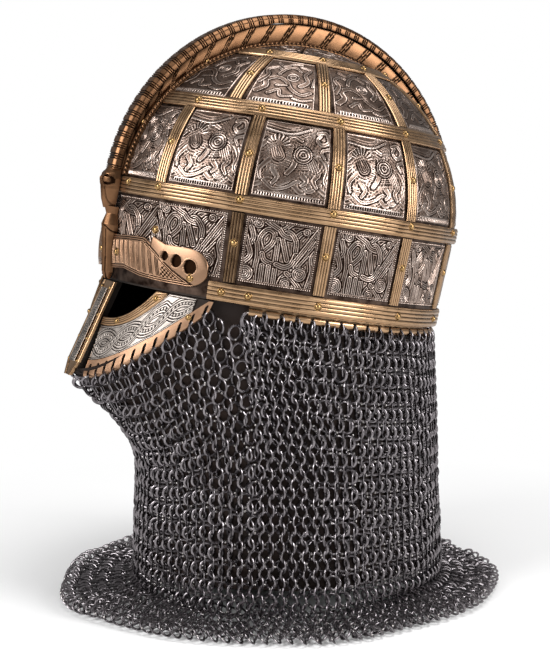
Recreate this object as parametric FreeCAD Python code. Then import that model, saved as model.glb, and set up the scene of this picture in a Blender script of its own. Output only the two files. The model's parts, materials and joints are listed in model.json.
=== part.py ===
import FreeCAD
import Part

import math
import os

# Crested helmet with a face mask and a mail neck guard. Millimetres, up is +Z, the face looks to -Y and
# the wearer's left is +X. The bowl is drawn square on its own rim plane, then leaned back and lifted.

# Bowl: a rim, a widest line and a dome drawn as flat courses between ellipses.
half_width = 103.4
half_length = 120.0
rim_share = 0.965
widest_height = 62.0
dome_rise = 108.7
course_count = 7
course_angle = 12.0
panel_thick = 0.9
bowl_thick = 1.6
layer_gap = 0.25
column_angle = 6.6
lean_angle = 10.1
rim_lift = 196.5
rim_forward = 1.3

# Bands round the bowl and ribs up it.
hoop_wide = 10.6
hoop_thick = 2.0
rim_band_wide = 12.0
upper_hoop_share = 0.542
crown_hoop_share = 0.8915
upper_hoop_height = widest_height + upper_hoop_share * dome_rise
crown_hoop_height = widest_height + crown_hoop_share * dome_rise
rib_wide = 8.0
rib_thick = 1.5
rib_first = 24.5
rib_pitch = 28.5
rib_count = 6
top_rib_first = 41.0
top_rib_pitch = 35.0
top_rib_count = 4
seam_gap = 0.5
rib_top_share = 0.7

# Crest: a body on the dome with a flange round its back and a roped strip at each foot.
crest_stand = 9.2
crest_radius = max(half_length, dome_rise) + crest_stand
crest_flange_thick = 6.0
crest_flange_wide = 14.0
crest_flange_chamfer = 2.2
crest_body_wide = 9.6
crest_foot_wide = 22.4
crest_foot_thick = 1.5
crest_front_angle = 4.0
crest_back_angle = 171.5
crest_step_angle = 6.0

# Animal head and the ridge below it.
head_rise = 12.0
head_drop = 14.5
head_top_height = widest_height + head_rise
head_low_height = widest_height - head_drop
head_half_wide = 8.6
head_depth = 11.0
ridge_half_wide = 5.6
ridge_depth = 6.6
ridge_gap = 0.7
ridge_top_height = head_low_height - ridge_gap
ridge_low_height = 0.4
front_shoulder_share = 0.5
front_top_share = 0.4
head_heights = (0.0, 0.2, 0.45, 0.7, 1.0)
head_half_shares = (0.62, 0.72, 1.0, 0.95, 0.55)
head_depth_shares = (0.45, 0.8, 0.95, 1.0, 0.75)
ridge_heights = (0.0, 0.1, 0.35, 0.6, 0.75, 0.9, 1.0)
ridge_half_shares = (0.3, 0.8, 0.95, 1.0, 0.6, 0.95, 0.75)
ridge_depth_shares = (0.5, 0.75, 0.8, 0.95, 0.6, 0.9, 0.85)

# Brow guards.
brow_thick = 4.0
brow_lift = 0.45
brow_start = 3.6
brow_end = 46.2
brow_top = 29.4
brow_low_front = 8.4
brow_low_back = 4.6
brow_hole_angles = (31.1, 35.4, 40.1)
brow_hole_heights = (22.2, 20.4, 18.2)
brow_hole_radii = (2.6, 3.7, 4.3)
brow_shares = (0.0, 0.18, 0.4, 0.62, 0.8, 0.93, 1.0)
brow_low_lifts = (0.0, 0.1, 0.0, 0.0, 0.05, 0.3, 0.62)
brow_high_drops = (0.0, -0.05, -0.08, 0.0, 0.0, 0.12, 0.3)
brow_edge_share = 0.6

# Face mask: two ruled side plates that meet a nose bar.
mask_plate_thick = 1.5
mask_drop = 60.5
mask_drop_power = 1.65
mask_nose_half = 9.5
mask_nose_stand = 8.0
mask_nose_reach = half_length + mask_nose_stand
mask_cheek_wide_share = 0.4642
mask_cheek_reach_share = 0.929
mask_cheek_wide = half_width * mask_cheek_wide_share
mask_cheek_reach = half_length * mask_cheek_reach_share
mask_first_angle = 5.5
mask_last_angle = 55.0
mask_corner = 0.935
mask_top_gap = 0.6
mask_inset = 0.8
eye_drop = 23.0
eye_corner = 0.45
eye_power = 2.6
eye_strip_thick = 1.7
eye_strip_wide = 5.5
eye_strip_drop = eye_drop + eye_strip_wide
eye_strip_corner = 0.56
eye_strip_power = 2.4
cheek_panel_thick = 0.8
cheek_panel_gap = 0.5
mask_turn_share = 0.5
face_rim_wide = 8.5
mask_stations = 13
mask_far_share = 0.88
mask_near_share = 0.015
mask_panel_share = 0.76

# Nose bar.
nose_bar_half = 9.4
nose_bar_thick = 2.2
nose_bar_top = -0.8
nose_tip_drop = 3.5
nose_bar_low = -mask_drop - nose_tip_drop
nose_bar_setback = 3.4
nose_bar_reach = half_length - nose_bar_setback
nose_bar_slope = 0.306
nose_spine_thick = 4.0
nose_spine_inset = 1.1
nose_spine_half = nose_bar_half - nose_spine_inset
nose_edge_wide = 4.8
nose_inlay_half = nose_bar_half - nose_edge_wide
nose_inlay_thick = 0.6

# Slotted edges, rolled round a rod that the mail hangs from.
roll_outer = 2.7
roll_inner = 1.6
rod_radius = 0.9
slot_wide = 2.4
slot_pitch = 9.8
face_slot_count = 12
face_slot_rise = 6.0
neck_first_angle = 60.0
neck_search_step = 0.5
neck_strip_rise = 5.5
neck_strip_gap = 0.15
face_roll_turns = (0, -70, -140, -215)
face_slot_first = 0.06
face_slot_last = 0.85
neck_roll_turns = (180, 260, 340, 420)
neck_finger_rise = 1.0

# Mail: a curtain from the rolled edges down to a hem spread on the floor.
mail_thick = 2.0
mail_columns = 48
mail_hang = 3.5
waist_height = 85.0
waist_side_inset = 5.4
waist_half_width = half_width - waist_side_inset
waist_front_inset = 19.7
waist_half_length = half_length - waist_front_inset
waist_back = 11.6
waist_power = 1.7
foot_height = 10.0
foot_spread = 3.4
foot_half_width = waist_half_width + foot_spread
foot_half_length = waist_half_length + foot_spread
foot_back = 12.0
skirt_side = 38.0
hem_half_width = foot_half_width + skirt_side
skirt_front = 45.0
hem_half_length = foot_half_length + skirt_front
hem_back = 6.0
fold_counts = (5, 9)
fold_parts = (0.6, 0.4)
fold_deep = 4.0
fold_shallow = 1.6
backing_thick = 0.8
backing_gap = 0.9
backing_columns = (0, 2, 4, 6, 7, 8, 12, 16, 20, 24, 28, 32, 36, 40, 41, 42, 44, 46)
backing_levels = (0.02, 0.14, 0.3, 0.5, 0.94)
mail_levels = (0.0, 0.14, 0.3, 0.5, 0.75)
skirt_shares = (0.3, 0.8, 1.0)
skirt_heights = (2.5, 1.0, 1.0)
foot_bend_height = 3.5

# Rivets, drawn as five sided domes.
rivet_radius = 2.3
rivet_rise = 1.5
rivet_sides = 5
hole_sides = 8
eye_sides = 8
rivet_top_share = 0.55
lower_hoop_rivet_first = 9.0
upper_hoop_rivet_angles = (26.7, 53.0, 81.8, 110.7, 138.5, 163.0)
crown_hoop_rivet_angles = (39.0, 77.0, 110.0, 144.0)
rim_rivet_angles = (51.2, 59.8, 81.8, 112.6, 138.5, 167.0)
crest_rivet_shares = (0.1, 0.28, 0.45, 0.55, 0.7, 0.88)
crest_rivet_scale = 0.8
brow_rivet_shares = (0.08, 0.87)
brow_rivet_heights = (19.0, 11.5)
nose_rivet_heights = (-5.0, -23.0, -39.0, -54.0)
nose_rivet_scale = 0.55
eye_rivet_shares = (0.18, 0.47)
corner_rivet_share = 0.75
corner_rivet_rise_share = 0.7
rib_rivet_share = 0.6
brow_rivet_sinks = (0.0, 0.5)

# Leather inside the bowl.
liner_thick = 2.5
liner_low = 14.0
liner_high = 44.0
liner_offset = -8.5
crown_strap_low_share = 0.25
crown_strap_taper_share = 0.07
crown_strap_wide = 30.0
crown_strap_thick = 2.0
crown_strap_count = 4
liner_rivet_angles = (30.0, 75.0, 105.0, 150.0)

# Chin strap on two side rivets, closed by a buckle on the wearer's left.
strap_wide = 18.0
strap_thick = 2.4
strap_drop = 118.0
strap_inset = 19.4
strap_half_span = half_width - strap_inset
strap_seat_angle = 84.0
strap_seat_height = 9.5
strap_step = 8.0
strap_lap_step = 3
strap_lap_gap = 0.6
strap_play = 0.4
strap_pass_share = 0.3
strap_pin_radius = 2.0
keeper_step = 3
buckle_step = 6
buckle_long = 20.0
buckle_bar = 2.4
buckle_side_play = 0.6
buckle_wide = strap_wide + 2 * (buckle_bar + buckle_side_play)
tongue_wide = 3.0
eye_hole_share = 0.82
eye_rim_share = 1.15
keeper_shares = (0.3, 0.7)
strap_last_step = 22

half_turn = 180.0
full_turn = 360.0
small_step = 0.01
flat_limit = 0.000001


def vector(x, y, z):
    return FreeCAD.Vector(x, y, z)


def seat(shape):
    """Leans a shape drawn on the rim plane back and lifts it to its height."""
    placed = shape.copy()
    placed.rotate(vector(0, 0, 0), vector(1, 0, 0), -lean_angle)
    placed.translate(vector(0, -rim_forward, rim_lift))
    return placed


def seat_point(point):
    """The same move for one point."""
    angle = math.radians(lean_angle)
    y = point.y * math.cos(angle) + point.z * math.sin(angle)
    z = point.z * math.cos(angle) - point.y * math.sin(angle)
    return vector(point.x, y - rim_forward, z + rim_lift)


def many_sided(base, axis, radius, length, sides):
    """A prism with even sides round an axis, for a small round form."""
    side = axis.cross(vector(0, 0, 1))
    if side.Length < small_step:
        side = vector(1, 0, 0)
    side = side.normalize()
    other = axis.cross(side)
    corners = []
    for number in range(sides):
        turn = 2 * math.pi * (number + 0.5) / sides
        corners.append(base + side * (radius * math.cos(turn)) + other * (radius * math.sin(turn)))
    return Part.Face(polygon_wire(corners)).extrude(axis * length)


def mirror(shape):
    """The wearer's right hand copy of a left hand piece."""
    return shape.mirror(vector(0, 0, 0), vector(1, 0, 0))


def solid_from_faces(faces):
    """Sews faces that close on each other into one solid."""
    shell = Part.makeShell(faces)
    shell.sewShape()
    solid = Part.makeSolid(shell)
    if solid.Volume < 0:
        solid.reverse()
    return solid


def polygon_wire(points):
    return Part.makePolygon(list(points) + [points[0]])


def corner_faces(points):
    """One face over corners in one plane, or a fan of triangles over others."""
    normal = (points[1] - points[0]).cross(points[2] - points[0])
    lift = [abs((point - points[0]).dot(normal)) for point in points]
    if max(lift) < flat_limit * max(normal.Length, flat_limit):
        return [Part.Face(polygon_wire(points))]
    return [Part.Face(polygon_wire([points[0], b, c])) for b, c in zip(points[1:], points[2:])]


def loft_polygons(sections):
    """A solid through polygons with the same number of corners."""
    faces = corner_faces(sections[0]) + corner_faces(sections[-1])
    for section, following in zip(sections, sections[1:]):
        faces += band_faces(section + section[:1], following + following[:1])
    return solid_from_faces(faces)


def band_faces(chain, other):
    """Faces between two chains of corners that run side by side."""
    faces = []
    for a, b, c, d in zip(chain, chain[1:], other[1:], other):
        faces += corner_faces([a, b, c, d])
    return faces


def sheet_solid(backs, fronts):
    """A solid between two grids of corners, rows of columns, that lie face to face."""
    faces = band_faces(backs[0], fronts[0]) + band_faces(backs[-1], fronts[-1])
    for grid in (backs, fronts):
        for row, following in zip(grid, grid[1:]):
            faces += band_faces(row, following)
    for end in (0, -1):
        back = [row[end] for row in backs]
        front = [row[end] for row in fronts]
        faces += band_faces(back, front)
    return solid_from_faces(faces)


# The bowl's profile is a chain of knots. A place on it is a knot number with a fraction. A layer is the
# same chain drawn on a bowl that is larger by an offset, so every sheet on the bowl shares the same courses.

def profile_knots(offset=0.0):
    """Share of the widest section and height of each knot on a layer."""
    knots = [(rim_share, 0.0), (1.0, widest_height)]
    for course in range(course_count):
        angle = math.radians(course_angle * (course + 1))
        knots.append((math.cos(angle), widest_height + (dome_rise + offset) * math.sin(angle)))
    return knots


def layer_knots(offset):
    """Half width, half length and height of each knot on a layer."""
    wide, long = half_width + offset, half_length + offset
    return [(wide * share, long * share, height) for share, height in profile_knots(offset)]


def place_at(height):
    """Place on the profile chain at a height over the rim plane."""
    heights = [knot[1] for knot in profile_knots()]
    number = 0
    while number < len(heights) - 2 and heights[number + 1] < height:
        number += 1
    return number + (height - heights[number]) / (heights[number + 1] - heights[number])


def last_place():
    return len(profile_knots()) - 1


def layer_at(place, offset):
    layer = layer_knots(offset)
    number = min(max(int(math.floor(place)), 0), len(layer) - 2)
    share = place - number
    low, high = layer[number], layer[number + 1]
    return tuple(a + (b - a) * share for a, b in zip(low, high))


def course_places(first, last):
    """The ends of a span of the profile with every knot between them."""
    inner = [float(knot) for knot in range(len(profile_knots())) if first < knot < last]
    return [first] + inner + [last]


def bowl_point(angle, place, offset):
    """Point on a layer, by the ellipse angle from the front towards the wearer's left."""
    across, along, height = layer_at(place, offset)
    turn = math.radians(angle)
    return vector(across * math.sin(turn), -along * math.cos(turn), height)


def bowl_normal(angle, place):
    """Outward direction square to the bowl at a place."""
    step = small_step
    middle = bowl_point(angle, place, 0.0)
    along = bowl_point(angle + step, place, 0.0).sub(middle)
    rise = bowl_point(angle, place + step, 0.0).sub(bowl_point(angle, place - step, 0.0))
    return along.cross(rise).normalize()


def column_angles(first, last):
    """Even columns across a span of the ellipse, no wider than the column angle."""
    count = max(1, int(math.ceil((last - first) / column_angle - small_step)))
    return [first + (last - first) * number / count for number in range(count + 1)]


def bowl_grid(angles, places, offset):
    return [[bowl_point(angle, place, offset) for angle in angles] for place in places]


def patch(first, last, low, high, inner, outer):
    """A sheet on the bowl between two angles, two places and two offsets."""
    angles, places = column_angles(first, last), course_places(low, high)
    return sheet_solid(bowl_grid(angles, places, inner), bowl_grid(angles, places, outer))


def closed_rings(rows):
    """A solid inside a closed chain of rings of corners."""
    faces = []
    for row, following in zip(rows, rows[1:] + rows[:1]):
        faces += band_faces(row + row[:1], following + following[:1])
    return solid_from_faces(faces)


def full_columns():
    return column_angles(0.0, full_turn)[:-1]


def ring(low, high, inner, outer):
    """A closed band round the bowl between two places and two offsets."""
    places = course_places(low, high)
    rows = bowl_grid(full_columns(), places, inner)
    return closed_rings(rows + list(reversed(bowl_grid(full_columns(), places, outer))))


def half_angle(angle, place, wide):
    """Ellipse angle that half of a width takes at a place."""
    across, along, _ = layer_at(place, 0.0)
    turn = math.radians(angle)
    return math.degrees(wide / 2 / math.hypot(across * math.cos(turn), along * math.sin(turn)))


def rib(angle, low, high):
    """A flat strip up the bowl with bevelled edges."""
    sections = []
    for place in course_places(low, high):
        side = half_angle(angle, place, rib_wide)
        foot = layer_gap + rib_foot_lift()
        shoulder = foot + rib_thick / 2
        top = foot + rib_thick
        corners = ((-side, foot), (-side, shoulder), (-side * rib_top_share, top))
        corners += tuple((-turn, offset) for turn, offset in reversed(corners))
        sections.append([bowl_point(angle + turn, place, offset) for turn, offset in corners])
    return loft_polygons(sections)


def rib_foot_lift():
    """Keeps a straight rib clear of the round sheet below it."""
    return rib_wide * rib_wide / (8 * half_width)


def both_sides(angles):
    """The same angles on the wearer's left and right."""
    return list(angles) + [full_turn - angle for angle in angles]


def rib_angles():
    return [rib_first + rib_pitch * number for number in range(rib_count)]


def top_rib_angles():
    return [top_rib_first + top_rib_pitch * number for number in range(top_rib_count)]


def hoop_span(height):
    """Places of the lower and upper edge of a hoop round a height."""
    middle = place_at(height)
    reach = hoop_wide / 2 / course_length(middle)
    return middle - reach, middle + reach


def course_length(place):
    """Length of the course that a place is on."""
    number = min(int(place), last_place() - 1)
    low, high = layer_knots(0.0)[number:number + 2]
    return math.hypot((low[0] + low[1] - high[0] - high[1]) / 2, high[2] - low[2])


def lower_hoop_span():
    low = 1 - hoop_wide / 2 / course_length(0.0)
    high = 1 + hoop_wide / 2 / course_length(1.0)
    return low, high


def skull_bowl():
    """The plain steel bowl under everything, open at the rim."""
    skin = -panel_thick - layer_gap
    places = [float(knot) for knot in range(last_place() + 1)]
    outside = bowl_grid(full_columns(), places, skin)
    inside = bowl_grid(full_columns(), places, skin - bowl_thick)
    faces = band_faces(inside[0] + inside[0][:1], outside[0] + outside[0][:1])
    for grid in (outside, inside):
        faces += corner_faces(grid[-1])
        for row, following in zip(grid, grid[1:]):
            faces += band_faces(row + row[:1], following + following[:1])
    return solid_from_faces(faces)


def panel_row(angles, low, high):
    """One row of sheets that meet under the ribs."""
    ends = angles[1:] + [angles[0] + full_turn]
    sheets = []
    for first, last in zip(angles, ends):
        side = half_angle(first, low, seam_gap)
        sheets.append(patch(first + side, last - side, low, high, -panel_thick, 0.0))
    return Part.makeCompound(sheets)


def row_angles(angles):
    return sorted(both_sides(angles))


def row_edges(height):
    middle = place_at(height)
    reach = seam_gap / 2 / course_length(middle)
    return middle - reach, middle + reach


def lower_panels():
    return panel_row(row_angles(rib_angles()), place_at(seam_gap), 1 - row_gap_at_widest())


def row_gap_at_widest():
    return seam_gap / 2 / course_length(0.0)


def middle_panels():
    low = 1 + seam_gap / 2 / course_length(1.0)
    return panel_row(row_angles(rib_angles()), low, row_edges(upper_hoop_height)[0])


def upper_panels():
    low, high = row_edges(upper_hoop_height)[1], row_edges(crown_hoop_height)[0]
    return panel_row(row_angles(top_rib_angles()), low, high)


def crown_panels():
    low = row_edges(crown_hoop_height)[1]
    return panel_row([0.0, half_turn], low, float(last_place()))


def rib_row(angles, low, high):
    return Part.makeCompound([rib(angle, low, high) for angle in both_sides(angles)])


def lower_ribs():
    low = place_at(rim_band_wide) + layer_gap / course_length(0.0)
    high = lower_hoop_span()[0] - layer_gap / course_length(0.0)
    return rib_row(rib_angles()[1:], low, high)


def middle_ribs():
    low = lower_hoop_span()[1] + layer_gap / course_length(1.0)
    high = hoop_span(upper_hoop_height)[0] - layer_gap / course_length(1.0)
    return rib_row(rib_angles(), low, high)


def upper_ribs():
    low = hoop_span(upper_hoop_height)[1] + layer_gap / course_length(1.0)
    high = hoop_span(crown_hoop_height)[0] - layer_gap / course_length(1.0)
    return rib_row(top_rib_angles(), low, high)


def rim_band():
    """Band round the rim from behind one brow guard to the other."""
    low, high = place_at(layer_gap), place_at(rim_band_wide)
    first = brow_end + seam_gap
    return patch(first, full_turn - first, low, high, layer_gap, layer_gap + hoop_thick)


def lower_hoop():
    low, high = lower_hoop_span()
    return ring(low, high, layer_gap, layer_gap + hoop_thick)


def half_hoop(height):
    """Left half of a hoop, which stops at the foot strips of the crest."""
    low, high = hoop_span(height)
    first = half_angle(0.0, high, crest_foot_wide + 4 * seam_gap)
    return patch(first, half_turn - first, low, high, layer_gap, layer_gap + hoop_thick)


def upper_hoop_left():
    return half_hoop(upper_hoop_height)


def crown_hoop_left():
    return half_hoop(crown_hoop_height)


def upper_hoop_right():
    return mirror(upper_hoop_left())


def crown_hoop_right():
    return mirror(crown_hoop_left())


# The crest is drawn in the middle plane, round a point at the widest height.

def crest_point(radius, angle, across):
    turn = math.radians(angle)
    return vector(across, -radius * math.cos(turn), widest_height + radius * math.sin(turn))


def dome_chain(offset, across):
    """Points over the dome from front to back at a distance from the middle plane."""
    shrink = math.sqrt(1 - (across / half_width) ** 2)
    points = []
    for place in course_places(crest_first_place(), float(last_place())):
        _, along, height = layer_at(place, offset)
        points.append(vector(across, -along * shrink, widest_height + (height - widest_height) * shrink))
    return points + [vector(p.x, -p.y, p.z) for p in reversed(points)]


def crest_first_place():
    return lower_hoop_span()[1] + seam_gap / course_length(1.0)


def crest_angles():
    """Even stations along the flange."""
    turn = crest_back_angle - crest_front_angle
    count = int(round(turn / crest_step_angle))
    return [crest_front_angle + turn * number / count for number in range(count + 1)]


def crest_body():
    """Upright web of the crest between the dome and the flange."""
    half = crest_body_wide / 2
    radius = crest_radius - crest_flange_thick - layer_gap
    chain = dome_chain(layer_gap + panel_thick / 2, -half)
    first = math.degrees(math.asin((chain[0].z - widest_height) / radius))
    angles = [angle for angle in crest_angles() if first < angle < half_turn - first]
    angles = [first] + angles + [half_turn - first]
    back = [crest_point(radius, angle, -half) for angle in reversed(angles)]
    return Part.Face(polygon_wire(chain + back)).extrude(vector(crest_body_wide, 0, 0))


def crest_flange():
    """Flange with bevelled edges round the back of the web."""
    half = crest_flange_wide / 2
    inner = crest_radius - crest_flange_thick
    chamfer = crest_flange_chamfer
    corners = ((-half, inner), (-half, crest_radius - chamfer), (chamfer - half, crest_radius))
    corners += tuple((-across, radius) for across, radius in reversed(corners))
    sections = []
    for angle in crest_angles():
        sections.append([crest_point(radius, angle, across) for across, radius in corners])
    return loft_polygons(sections)


def crest_foot_left():
    """Roped strip along the foot of the crest."""
    near = crest_body_wide / 2 + layer_gap
    far = crest_foot_wide / 2
    low = crest_foot_lift()
    rows = [dome_chain(low, near), dome_chain(low, far)]
    rows += [dome_chain(low + crest_foot_thick, far), dome_chain(low + crest_foot_thick, near)]
    return loft_polygons([list(section) for section in zip(*rows)])


def crest_foot_lift():
    """Keeps the straight strips clear of the round sheets below them."""
    return layer_gap + panel_thick / 2


def crest_foot_right():
    return mirror(crest_foot_left())


def front_section(height, half, depth, clearance):
    """Six cornered section of a piece that stands on the front of the bowl."""
    place = place_at(height)
    along = layer_at(place, clearance)[1]
    near = -along
    far = -along - depth
    shoulder = near - depth * front_shoulder_share
    top = half * front_top_share
    corners = [(-half, near), (-half, shoulder), (-top, far), (top, far), (half, shoulder), (half, near)]
    return [vector(x, y, height) for x, y in corners]


def crest_head():
    """Animal head over the front end of the crest, standing on the lower hoop."""
    span = head_top_height - head_low_height
    clearance = hoop_thick + 3 * layer_gap
    sections = []
    for rise, half, depth in zip(head_heights, head_half_shares, head_depth_shares):
        height = head_low_height + span * rise
        sections.append(front_section(height, head_half_wide * half, head_depth * depth, clearance))
    return loft_polygons(sections).cut(crest_clearance())


def crest_clearance():
    """Room for the front end of the crest behind the animal head."""
    wide = crest_flange_wide + 2 * layer_gap
    corner = vector(-wide / 2, -crest_radius - layer_gap, crest_first_height() - layer_gap)
    return Part.makeBox(wide, crest_radius, head_top_height, corner)


def crest_first_height():
    flange = crest_point(crest_radius - crest_flange_thick, crest_front_angle, 0.0)
    return min(flange.z, layer_at(crest_first_place(), 0.0)[2])


def forehead_ridge():
    """Raised ridge from the animal head down to the nose bar."""
    span = ridge_top_height - ridge_low_height
    sections = []
    for rise, half, depth in zip(ridge_heights, ridge_half_shares, ridge_depth_shares):
        height = ridge_low_height + span * rise
        sections.append(front_section(height, ridge_half_wide * half, ridge_depth * depth, ridge_clearance()))
    return loft_polygons(sections)


def ridge_clearance():
    return 2 * layer_gap


def brow_left():
    """Brow guard with three holes, over the front of the bowl."""
    sections = []
    for share, lift, drop in zip(brow_shares, brow_low_lifts, brow_high_drops):
        angle = brow_start + (brow_end - brow_start) * share
        low = brow_low_front + (brow_low_back - brow_low_front) * share
        tall = brow_top - low
        heights = (low + tall * lift, low + tall * (lift + (1 - drop)) / 2, brow_top - tall * drop)
        sections.append(brow_section(angle, heights))
    guard = loft_polygons(sections)
    return guard.cut(Part.makeCompound(brow_holes()))


def brow_section(angle, heights):
    foot = layer_gap + brow_lift
    crown = (foot + brow_thick * brow_edge_share, foot + brow_thick, foot + brow_thick * brow_edge_share)
    outside = [bowl_point(angle, place_at(height), offset) for height, offset in zip(heights, crown)]
    inside = [bowl_point(angle, place_at(height), foot) for height in (heights[2], heights[0])]
    return outside + inside


def brow_holes():
    holes = []
    for angle, height, radius in zip(brow_hole_angles, brow_hole_heights, brow_hole_radii):
        place = place_at(height)
        normal = bowl_normal(angle, place)
        base = bowl_point(angle, place, 0.0).sub(normal * brow_thick)
        holes.append(many_sided(base, normal, radius, 3 * brow_thick, hole_sides))
    return holes


def brow_right():
    return mirror(brow_left())


# The mask is ruled between the rim and its lower edge. A column is a share from nose to corner.

def mask_lower(share):
    """Point on the middle line of the mask's lower edge."""
    angle = math.radians(mask_last_angle)
    across, along, _ = layer_at(place_at(-mask_top_gap), -mask_inset)
    last = (across * math.sin(angle), -along * math.cos(angle))
    near, far = (1 - share) ** 2, share * share
    middle = 2 * share * (1 - share)
    x = near * mask_nose_half + middle * mask_cheek_wide + far * last[0]
    y = -near * mask_nose_reach - middle * mask_cheek_reach + far * last[1]
    fall = 1 - (max(share, 0.0) / mask_corner) ** mask_drop_power
    return vector(x, y, -mask_drop * fall - mask_top_gap)


def mask_upper(share):
    angle = mask_first_angle + (mask_last_angle - mask_first_angle) * share
    return bowl_point(angle, place_at(-mask_top_gap), -mask_inset)


def mask_point(share, height, offset):
    """Point at a height on a column of the mask, moved out by an offset."""
    low, high = mask_lower(share), mask_upper(share)
    part = (height - low.z) / (high.z - low.z)
    return low + (high - low) * part + mask_normal(share) * offset


def mask_normal(share):
    step = 1.0 / mask_stations
    low, high = mask_lower(share), mask_upper(share)
    ahead = mask_upper(share + step) + mask_lower(share + step)
    along = ahead - high - low
    rise = mask_upper(0.0) - mask_lower(0.0)
    if share > mask_turn_share:
        rise = vector(0, 0, 1)
    return along.cross(rise).normalize()


def mask_sheet(shares, low, high, inner, outer):
    """A sheet on the mask between two heights given for each column."""
    sections = []
    for share in shares:
        corners = ((low(share), inner), (low(share), outer), (high(share), outer), (high(share), inner))
        sections.append([mask_point(share, height, offset) for height, offset in corners])
    return loft_polygons(sections)


def mask_shares(first, last):
    """Columns of the mask between two shares, on one grid for every sheet."""
    grid = [number / mask_stations for number in range(mask_stations + 1)]
    return [first] + [share for share in grid if first < share < last] + [last]


def eye_edge(share):
    """Height of the plate's upper edge, under the eye and then under the rim."""
    if share >= eye_corner:
        return -mask_top_gap
    return -eye_drop * (1 - (share / eye_corner) ** eye_power) - mask_top_gap


def eye_strip_edge(share):
    part = min(share / eye_strip_corner, 1.0)
    return -eye_strip_drop * (1 - part ** eye_strip_power) - mask_top_gap


def lower_edge(share):
    return mask_lower(share).z


def rim_edge(share):
    """Upper edge of the slotted rim."""
    return min(lower_edge(share) + face_rim_wide, -mask_top_gap - seam_gap)


def cheek_plate_left():
    """Steel plate behind one side of the mask, open above at the eye."""
    shares = mask_shares(mask_near_share, mask_far_share)
    return mask_sheet(shares, plate_edge, eye_edge, -mask_plate_thick, 0.0)


def plate_edge(share):
    """Lower edge of the plate, above the rolled rim."""
    return lower_edge(share) + roll_outer + seam_gap


def cheek_plate_right():
    return mirror(cheek_plate_left())


def eye_strip_left():
    """Ribbed strip under the eye."""
    shares = mask_shares(mask_near_share, eye_strip_corner - mask_near_share)
    return mask_sheet(shares, eye_strip_edge, eye_edge, layer_gap, layer_gap + eye_strip_thick)


def eye_strip_right():
    return mirror(eye_strip_left())


def cheek_panel_left():
    """Thin sheet between the eye strip and the slotted rim."""
    shares = mask_shares(mask_near_share, mask_panel_share)
    return mask_sheet(shares, panel_low_edge, panel_high_edge, cheek_panel_gap,
                      cheek_panel_gap + cheek_panel_thick)


def panel_low_edge(share):
    return rim_edge(share) + seam_gap


def panel_high_edge(share):
    return eye_strip_edge(share) - seam_gap


def cheek_panel_right():
    return mirror(cheek_panel_left())


def roll_offset():
    """Offset of the rod line from the mask surface."""
    return layer_gap - roll_inner


def roll_corners(turns, radius):
    return [(math.cos(math.radians(turn)) * radius, math.sin(math.radians(turn)) * radius) for turn in turns]


def fingered_strip(frames, turns, strip_corners):
    """A strip rolled into fingers along an edge, with open slots between them.

    Frames are pairs of sections, one pair for each finger. Strip corners give the strip's far end and the
    height that the slots reach, as outer and inner corners. Turns are the corners of the roll.
    """
    outer, inner = strip_corners
    roll_out, roll_in = roll_corners(turns, roll_outer), roll_corners(turns, roll_inner)
    strip = [outer[0], outer[1], inner[1], inner[0]]
    finger = [outer[0], outer[1]] + roll_out + list(reversed(roll_in)) + [inner[1], inner[0]]
    hook = finger[1:-1]
    faces = []
    for first, last in frames:
        faces += band_faces(closed(first, finger), closed(last, finger))
        faces.append(Part.Face(polygon_wire([first(corner) for corner in hook])))
        faces.append(Part.Face(polygon_wire([last(corner) for corner in hook])))
    for (_, first), (last, _) in zip(frames, frames[1:]):
        faces += band_faces(closed(first, strip), closed(last, strip))
    faces += corner_faces([frames[0][0](corner) for corner in strip])
    faces += corner_faces([frames[-1][1](corner) for corner in strip])
    return solid_from_faces(faces)


def closed(place, corners):
    points = [place(corner) for corner in corners]
    return points + points[:1]


def face_frame(share):
    """Gives the place of a section corner at one column of the mask's lower edge."""
    low = mask_lower(share).z

    def place(corner):
        out, rise = corner
        tall = min(1.0, (rim_edge(share) - low) / face_rim_wide) if rise > 0 else 1.0
        return mask_point(share, low + rise * tall, roll_offset() + out)
    return place


def face_slot_shares():
    """Middles of the slots along the mask's lower edge."""
    step = (face_slot_last - face_slot_first) / (face_slot_count - 1)
    return [face_slot_first + step * number for number in range(face_slot_count)]


def face_rim_left():
    """Slotted rim along the lower edge of the mask, rolled round its rod."""
    edge_length = (mask_lower(face_slot_last) - mask_lower(face_slot_first)).Length
    side = slot_wide / 2 / edge_length * (face_slot_last - face_slot_first)
    slots = face_slot_shares()
    starts = [mask_near_share] + [share + side for share in slots]
    ends = [share - side for share in slots] + [mask_far_share]
    frames = [(face_frame(a), face_frame(b)) for a, b in zip(starts, ends)]
    outer = ((roll_outer, face_rim_wide), (roll_outer, face_slot_rise))
    inner = ((roll_inner, face_rim_wide), (roll_inner, face_slot_rise))
    return fingered_strip(frames, face_roll_turns, (outer, inner))


def face_rim_right():
    return mirror(face_rim_left())


def rod_sections(centres, normals):
    """Five cornered sections round a line, each square enough to it for a thin rod."""
    sections = []
    for centre, normal in zip(centres, normals):
        points = []
        for number in range(rivet_sides):
            turn = math.radians(full_turn * number / rivet_sides)
            side = normal * (rod_radius * math.cos(turn))
            points.append(centre + side + vector(0, 0, rod_radius * math.sin(turn)))
        sections.append(points)
    return sections


def face_rod_left():
    shares = mask_shares(mask_near_share, mask_far_share)
    centres = [mask_lower(share) + mask_normal(share) * roll_offset() for share in shares]
    return loft_polygons(rod_sections(centres, [mask_normal(share) for share in shares]))


def face_rod_right():
    return mirror(face_rod_left())


def nose_line(height):
    """Reach of the nose bar's front face at a height."""
    return -(nose_bar_reach - nose_bar_slope * height)


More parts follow.
